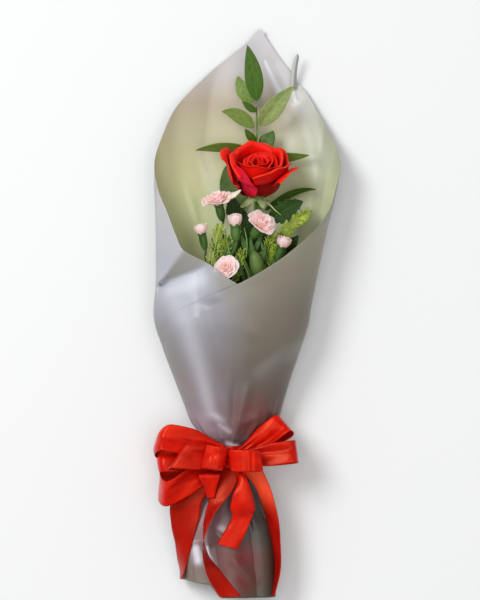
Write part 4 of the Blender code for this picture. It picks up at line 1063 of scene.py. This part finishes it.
# ------------------------------------------------------------------ rose
def make_rose():
    # a loose spiral of small petals round the bud's cone
    B = Builder()
    k = 0
    for ring, (count, rho, length, wide) in enumerate([(1, 1.6, 46.5, 150), (2, 4.6, 46.5, 112), (3, 8.4, 47.5, 80), (3, 12.4, 48.5, 76)]):
        for j in range(count):
            k += 1
            P, U, V = petal_grid(40 + 137.5 * k, 3.0, 2.0, length + 1.1 * math.sin(2.1 * k), wide, rho, 18 + 22 * ring, drop=0.10, lag=1.2 + 0.35 * ring,
                                 curl_len=0.07 + 0.03 * ring, side_curl=0.4, seed=k, ruffle=0.5, lean=-3.0 + 0.6 * ring, nk=25, ns=32, start=50 + 5 * ring, point=0.0)
            P = P + E1 * (2.0 * smooth(V / 0.7))[..., None]
            B.grid(P, U, V, flip=True)
    o = B.object("rose_heart_spiral")
    solidify(o, 0.5)
    finish_piece(o, HEART, ["rose_heart"])
    for j, (th, curl, lean, length, belly, wide, cl, mat) in enumerate([
        (22, 52, 1, 51.4, 17.4, 60, 0.15, ROSE), (112, 50, 1, 53.5, 17.0, 62, 0.14, ROSE), (184, 78, 3, 55.5, 19.0, 50, 0.22, ROSE), (308, 84, 4, 53.8, 22.2, 52, 0.11, ROSE_FRONT_SHADED)]):
        make_petal(f"rose_inner_petal_{j + 1}_leaf", [f"rose_inner_petal_{j + 1}"], mat, "rose_petal", th0=th, rho0=6.0, h0=1.0, length=length, wide=wide,
                   belly=belly, curl=curl, lean=lean, lag=2.0, seed=30 + j, curl_len=cl, side_curl=0.6, ruffle=0.8, drop=0.13)
    # one more petal of the second turn, tall in front, seen over the rim of the turn outside it
    make_petal("rose_inner_petal_4_second", ["rose_inner_petal_4"], ROSE, "rose_petal", th0=262, rho0=5.5, h0=1.0, length=54.5, wide=70,
               belly=17.0, curl=50, lean=-1, lag=1.7, seed=44, curl_len=0.10, side_curl=0.4, ruffle=0.5, drop=0.10)
    for name, number, th, curl, lean, length, wide, cl, pt, belly, mat, drop, fall in (
        ("1_leaf", 1, 22, 34, 3, 47.0, 42, 0.20, 0.0, 21.4, ROSE_OUT, 0.14, 0.0),
        ("1_side", 1, 66, 26, 1, 48.5, 38, 0.16, 0.0, 20.0, ROSE_OUT, 0.08, 0.0),
        ("2_leaf", 2, 114, 24, 1, 49.0, 44, 0.20, 0.02, 20.6, ROSE_OUT, 0.16, 0.0),
        ("3_leaf", 3, 168, 62, 11, 59.5, 16.5, 0.30, 0.01, 22.8, ROSE_OUT, 0.13, 0.0),
        ("3_side", 3, 193, 22, 3, 50.5, 25, 0.12, 0.0, 25.7, ROSE_OUT, 0.10, 0.0),
        ("4_leaf", 4, 230, 8, 1, 51.0, 36, 0.06, 0.0, 24.0, ROSE_CRIMSON, 0.05, 0.36),
        ("5_leaf", 5, 329, 62, 8, 52.0, 26, 0.36, 0.0, 21.8, ROSE_OUT, 0.08, 0.0)):
        make_petal(f"rose_outer_petal_{name}", [f"rose_outer_petal_{number}"], mat, "rose_petal", th0=th, rho0=6.4 if number == 4 else 8.5, h0=0.5, length=length,
                   wide=wide, belly=belly, curl=curl, lean=lean, lag=2.2 if wide > 30 else 0.8, seed=50 + number, curl_len=cl, side_curl=1.0, ruffle=0.9, drop=drop, point=pt,
                   fall=fall, waist=0.15 if number == 4 else 0.5 if wide > 30 else 0.9, start=44 if number == 4 else 58, rounding=2.0 if name == "3_leaf" else 2.6,
                   even=name == "3_leaf")
    # receptacle and sepals
    B = Builder()
    nu, nv = 60, 12
    a = np.linspace(0, 2 * PI, nu, endpoint=False)[:, None]
    v = np.linspace(0, 1, nv)[None, :]
    lobe = np.abs(np.cos(2.5 * a)) ** 2.4
    reach = 0.5 + (6.0 + 9.0 * np.exp(-(((a - 3.85) / 0.45) ** 2))) * lobe * v
    rho = 9.6 + reach * v ** 0.8
    h = -1.2 - 0.9 * v - 6.5 * lobe * v * v + 0.5 * np.sin(7 * a) * v
    P = ROSE_BASE + E1 * (rho * np.cos(a))[..., None] + E2 * (rho * np.sin(a))[..., None] + E3 * h[..., None]
    B.grid(P, a / (2 * PI) + 0 * v, v + 0 * a, wrap=True)
    P2 = P - E3 * 0.5
    B.grid(P2, a / (2 * PI) + 0 * v, v + 0 * a, wrap=True, flip=True)
    o = B.object("rose_sepals_star")
    finish_piece(o, SEPAL, ["rose_sepals"])


# ------------------------------------------------------------------ stems
def make_stems():
    nx, ny, nz = NECK
    ring = [(nx + 5.7 * math.cos(math.radians(a)), nz + 5.7 * math.sin(math.radians(a))) for a in (270, 198, 126, 54, 342)]

    def lower(slot_xz, foot, r):
        x, z = slot_xz
        return [(nx + (x - nx) * 2.6 + foot, -287, nz + (z - nz) * 1.35 - 1.0, r), (x, ny - 14, z, r), (x, ny, z, r), (x, ny + 14, z, r)]

    top = ROSE_BASE
    make_tube("rose_stem_round", ["rose_stem"], STEM,
              lower((nx, nz), 1, 2.6) + [(-8, -60, 24, 2.5), (6, 40, 20, 2.5), (*(top - E3 * 22), 2.6), (*(top - E3 * 11), 3.4), (*(top - E3 * 5.5), 7.6), (*(top - E3 * 0.4), 9.6)], 18, 140)
    make_tube("ruscus_stem_round", ["ruscus_stem"], STEM,
              lower(ring[0], 3, 1.7) + [(-6, -60, 11, 1.6), (6, 40, 8.5, 1.6), (9, 110, 7.2, 1.4), (9.5, 160, 10.5, 1.2), (11, 200, 20, 1.0), (10.2, 226, 27, 0.9)], 12, 120)
    make_tube("spray_stem_1_round", ["spray_stem_1"], STEM, lower(ring[1], -4, 1.9) + [(-30, -60, 24, 1.7), (-32, 20, 34, 1.5), (-30, 70, 40, 1.2)], 12, 100)
    make_tube("spray_stem_2_round", ["spray_stem_2"], STEM, lower(ring[3], 3, 1.9) + [(0, -60, 38, 1.7), (8, -10, 46, 1.6), (12, 30, 50, 1.3)], 12, 100)
    # twine: two turns round the stems
    a = np.linspace(0, 2 * PI * 2.0, 90)
    pts = [(nx + 9.0 * math.cos(q), ny - 1.2 + 2.4 * q / (4 * PI), nz + 9.0 * math.sin(q), 0.75) for q in a]
    make_tube("stem_tie_twine", ["stem_tie"], TWINE, pts, 8, 220)
    return ring, lower


def make_greens():
    for i, (base, tip, width, young, kw) in enumerate((
        ((10.6, 231.5, 29), (0.5, 291.5, 40), 19, False, dict(bulge=(2.4, 0, 5))),
        ((5.6, 229.5, 23), (-10, 259, 17), 15, True, dict(bulge=(-5, 0, 3))),
        ((14.5, 204, 26), (51.2, 246.5, 44), 21, True, dict(bulge=(-4, 2, 6), normal=(0.35, -0.2, 1), fold=0.3)),
        ((7.0, 202, 25), (-27.3, 219.5, 33), 15, True, dict(bulge=(1, 9, 3), normal=(0, -0.3, 1))),
        ((9.8, 219.5, 31.5), (-5, 230.5, 36), 8, False, dict(bulge=(0, -1, 1), normal=(0, -0.6, 1))),
        ((9.0, 186.5, 24), (-2, 200.5, 31), 9, False, dict(bulge=(0, -1, 1), normal=(0, -0.8, 1))),
        ((13.6, 181, 16.6), (29, 199, 18), 16, False, dict(bulge=(3, -2, 0))),
        ((6.5, 176, 14.5), (-56, 177.5, 26), 14.5, False, dict(bulge=(0, 8, 2), normal=(0, -0.7, 0.7))),
        ((11.8, 166, 10.5), (67.6, 171.7, 33), 13, False, dict(bulge=(6, 2, -6), normal=(0, -0.6, 0.8))),
        ((20, 112, 10.0), (75.2, 134.5, 32), 7.5, False, dict(bulge=(3, 14, -5), normal=(0, -0.5, 0.9))),
    )):
        n = i + 1
        make_leaf(f"ruscus_leaf_{n}_blade", [f"ruscus_leaf_{n}"], (RUSCUS_LIGHT if n == 3 else RUSCUS_PALE) if young else RUSCUS_MID if n in (8, 9) else RUSCUS, "ruscus_leaf", base=base, tip=tip, width=width,
                  nu=40, nv=17, **{"wave": 0.04, "curl": 0.08, **kw})
    for n, (base, tip, width, mat, kw) in enumerate((
        ((-4, 112, 5.2), (-23, 161, 6.4), 29, ROSE_LEAF_MID, dict(bulge=(-5, 0, 0), serrate=0.06, teeth=14)),
        ((24, 100, 37), (61, 121, 44), 26, ROSE_LEAF, dict(bulge=(0, 3, 3), normal=(0, -0.1, 1), serrate=0.36, teeth=5)),
        ((-12, 97, 27), (-17, 128, 31.5), 18, ROSE_LEAF, dict(bulge=(0, 0, 2), serrate=0.14, teeth=10)),
    ), 1):
        make_leaf(f"rose_leaf_{n}_blade", [f"rose_leaf_{n}"], mat, "rose_leaf", base=base, tip=tip, width=width, shape=0.8, nu=73, nv=17, wave=0.08, **kw)
    # leaflets on the rose's own stem: dark, behind the small flowers
    for n, (base, tip, width, kw) in enumerate((
        ((9, 42, 24), (-12, 80, 30), 21, dict(bulge=(-3, 0, 2))),
        ((9, 44, 24), (13, 90, 28), 20, dict(bulge=(2, 0, 2))),
        ((9, 40, 24), (33, 72, 27), 19, dict(bulge=(3, -3, 2))),
        ((5, 8, 26), (-16, 46, 36), 20, dict(bulge=(-3, 0, 3))),
        ((5, 8, 26), (12, 52, 40), 19, dict(bulge=(0, 0, 4))),
        ((6, 10, 26), (30, 44, 36), 18, dict(bulge=(3, 0, 2))),
        ((11, 70, 22), (26, 106, 30), 17, dict(bulge=(2, 0, 2))),
        ((8, 74, 22), (-4, 112, 24), 17, dict(bulge=(-2, 0, 2))),
        ((-8, 20, 30), (-34, 60, 34), 17, dict(bulge=(-3, 0, 2))),
        ((-6, 30, 26), (-26, 86, 26), 19, dict(bulge=(-3, 0, 0))),
        ((0, 40, 22), (-2, 96, 22), 21, dict(bulge=(0, 0, 0))),
        ((16, 40, 22), (26, 92, 22), 20, dict(bulge=(2, 0, 0))),
        ((28, 52, 24), (56, 84, 40), 18, dict(bulge=(2, 0, 2))),
        ((-14, 16, 34), (-30, 44, 44), 15, dict(bulge=(-2, 0, 3))),
        ((14, 22, 30), (38, 62, 30), 18, dict(bulge=(2, 0, 0))),
        ((-4, 6, 30), (2, 50, 28), 22, dict(bulge=(0, 0, 0))),
    ), 1):
        make_leaf(f"rose_stem_leaflet_{n}", ["rose_stem"], ROSE_LEAF, "rose_leaf", base=base, tip=tip, width=width, shape=0.85, nu=55, nv=13,
                  serrate=0.18, teeth=10, wave=0.08, **kw)
    # narrow paired leaves on the spray stems
    r = random.Random(77)
    for n, node, line in ((1, "spray_stem_1", [(-30, -10, 36), (-31, 25, 39), (-27, 48, 46), (-20, 58, 46), (-18, 30, 44)]),
                          (2, "spray_stem_2", [(8, -4, 49), (11, 22, 52), (18, 34, 54), (12, 46, 52), (4, 60, 48), (0, 30, 50), (26, 48, 50)])):
        B = Builder()
        for q, (x, y, z) in enumerate(line):
            for sgn in (-1, 1):
                tip = (x + sgn * r.uniform(8, 15), y + r.uniform(24, 36), z + r.uniform(-2, 5))
                P, U, V, L = leaf_grid((x, y, z), tip, r.uniform(4.2, 6.0), bulge=(sgn * 2.5, 0, 2), fold=0.3, nu=24, nv=7, shape=0.7)
                B.grid(P, U, V)
        o = B.object(f"spray_stem_{n}_leaves")
        solidify(o, 0.4)
        finish_piece(o, SPRAY_LEAF, [node])


def make_flowers(ring, lower):
    specs = (
        (1, (-32, 122.5, 46), (-0.22, 0.93, 0.30), 20, 15, 3.4, 0.85, [(-34.5, 70, 43)]),
        (2, (16.0, 97, 66), (0.42, 0.68, 0.6), 17.5, 14, 4.2, 0.75, [(13, 33, 45.5), (9, 58, 47)]),
        (3, (-13.0, 100, 60), (-0.05, 0.97, 0.2), 7.8, 14, 4.0, 0.15, [(-26.5, 45, 42), (-17, 62, 50)]),
        (4, (-50, 90, 50), (-0.2, 0.95, 0.15), 7.4, 12, 2.8, 0.1, [(-37, 38, 36.5), (-45, 58, 42)]),
        (5, (-22.5, 48.5, 71), (-0.25, 0.42, 0.87), 14.5, 12, 3.6, 0.7, [(-27, 15, 37.5), (-24, 28, 48)]),
        (6, (39.5, 76, 56), (0.3, 0.93, 0.2), 8.0, 13, 3.2, 0.2, [(15, 12, 48.5), (27, 40, 50)]),
        (7, (9, 17, 66), (0.1, 0.75, 0.65), 14, 12, 3.4, 0.6, [(8.5, -22, 48)]),
    )
    for n, c, d, r, depth, mouth, op, stalk in specs:
        base, e3 = make_carnation(n, c, d, r, depth, mouth, op, 100 + n)
        make_calyx_stalk(n, base, e3, mouth, stalk)
    pale = [leaf_grid((-22, 124.5, 54), (-6.5, 133.5, 56), 4.2, bulge=(1.0, -1.5, 1.5), fold=0.25, nu=22, nv=7, shape=0.8)]
    B = Builder()
    B.grid(*pale[0][:3])
    o = B.object("carnation_1_side_petal")
    solidify(o, 0.4)
    finish_piece(o, CREAM, ["carnation_1_petals"])
    make_tube("rose_sepals_long_tip", ["rose_sepals"], SEPAL, [(15.5, 124, 33, 0.9), (24, 118, 44, 0.8), (31, 111, 48, 0.6), (37, 106, 50, 0.3)], 8, 30)
    for q, pts in enumerate(([(-16, 56, 50, 0.9), (-20, 68, 52, 0.9), (-24, 91, 52, 0.6)], [(-1, 60, 52, 0.8), (0, 76, 54, 0.8), (-3, 92, 54, 0.5)],
                             [(4, 20, 56, 0.9), (2, 40, 58, 0.8), (-6, 58, 58, 0.5)]), 1):
        make_tube(f"spray_stem_side_shoot_{q}", ["spray_stem_1" if q == 1 else "spray_stem_2"], STEM, pts, 8, 30)
    make_tube("carnation_bud_closed", ["carnation_bud"], BUD,
              [(14.5, -5, 49.5, 1.0), (19, 22, 56, 1.4), (15, 38, 60, 5.8), (11.5, 49, 62, 8.0), (8.5, 61, 64, 6.0), (7, 66.5, 64.6, 1.2)], 20, 70)
    make_plume("goldenrod_1_plume", ["goldenrod_1"], lower(ring[2], -3, 1.6) + [(-36, -60, 36, 1.4), (-40, 22, 46, 1.2)], 1.5,
               [[(-40, 22, 46), (-40, 45, 52), (-33, 78, 54), (-30, 92, 55)], [(-38, 24, 44), (-26, 52, 46), (-22, 80, 48)], [(-36, 10, 44), (-14, 40, 50), (-6, 66, 52)]], 8, 201, 24)
    make_plume("goldenrod_2_plume", ["goldenrod_2"], lower(ring[4], 4, 1.6) + [(12, -60, 32, 1.4), (30, 22, 36, 1.2)], 1.5,
               [[(30, 22, 40), (31, 48, 46), (40, 84, 44), (66, 110, 42)], [(26, 18, 42), (20, 50, 50), (27, 86, 52)], [(28, 14, 42), (28, 40, 52), (33, 70, 52)], [(34, 70, 46), (46, 92, 43), (64, 106, 42)]], 9, 202, 30)


# ------------------------------------------------------------------ everything
FILM_SHEET, FILM_CORNER = make_film()

make_bow()
make_rose()
RING, LOWER = make_stems()
make_greens()
make_flowers(RING, LOWER)

# ------------------------------------------------------------------ floor, light, camera
bpy.ops.mesh.primitive_plane_add(size=8, location=(0, 0, -0.0005))
floor = bpy.context.object
floor.name = "floor"
fm, fnt, fb = new_material("floor_white")
fb.inputs["Base Color"].default_value = (0.78, 0.78, 0.78, 1)
fb.inputs["Roughness"].default_value = 1.0
fb.inputs["Specular IOR Level"].default_value = 0.0
ft, fo, fu = coords(fnt)
fn = noise_tex(fnt, ft.outputs["Object"], 2.0, 2.0)
fnt.links.new(ramp(fnt, [(0.0, (0.775, 0.775, 0.775)), (1.0, (0.785, 0.785, 0.785))], fn), fb.inputs["Base Color"])
floor.data.materials.append(fm)

world = bpy.data.worlds.new("studio")
world.use_nodes = True
bg = world.node_tree.nodes["Background"]
bg.inputs["Color"].default_value = (1.0, 1.0, 1.0, 1)
bg.inputs["Strength"].default_value = 0.46
bpy.context.scene.world = world


def area(name, loc, target, size, power, colour=(1, 1, 1)):
    d = bpy.data.lights.new(name, "AREA")
    d.shape = "DISK"
    d.size = size
    d.energy = power
    d.color = colour
    o = bpy.data.objects.new(name, d)
    COLL.objects.link(o)
    o.location = loc
    o.rotation_euler = (Vector(target) - Vector(loc)).to_track_quat("-Z", "Y").to_euler()
    return o


key = area("key_light", (-2.1, 1.58, 3.33), (0, 0, 0), 1.9, 112, (0.97, 0.985, 1.0))
fill = area("top_light", (0.3, -0.2, 3.4), (0, 0, 0), 2.8, 38)

cam_data = bpy.data.cameras.new("camera")
cam_data.sensor_fit = "VERTICAL"
cam_data.sensor_height = 24
cam_data.lens = 161.4
cam_data.clip_end = 20
cam = bpy.data.objects.new("camera", cam_data)
COLL.objects.link(cam)
cam.location = (-0.00686, 0.01408, 4.44)
cam.rotation_euler = (0, 0, 0)
bpy.context.scene.camera = cam
bpy.context.scene.view_settings.view_transform = "Standard"
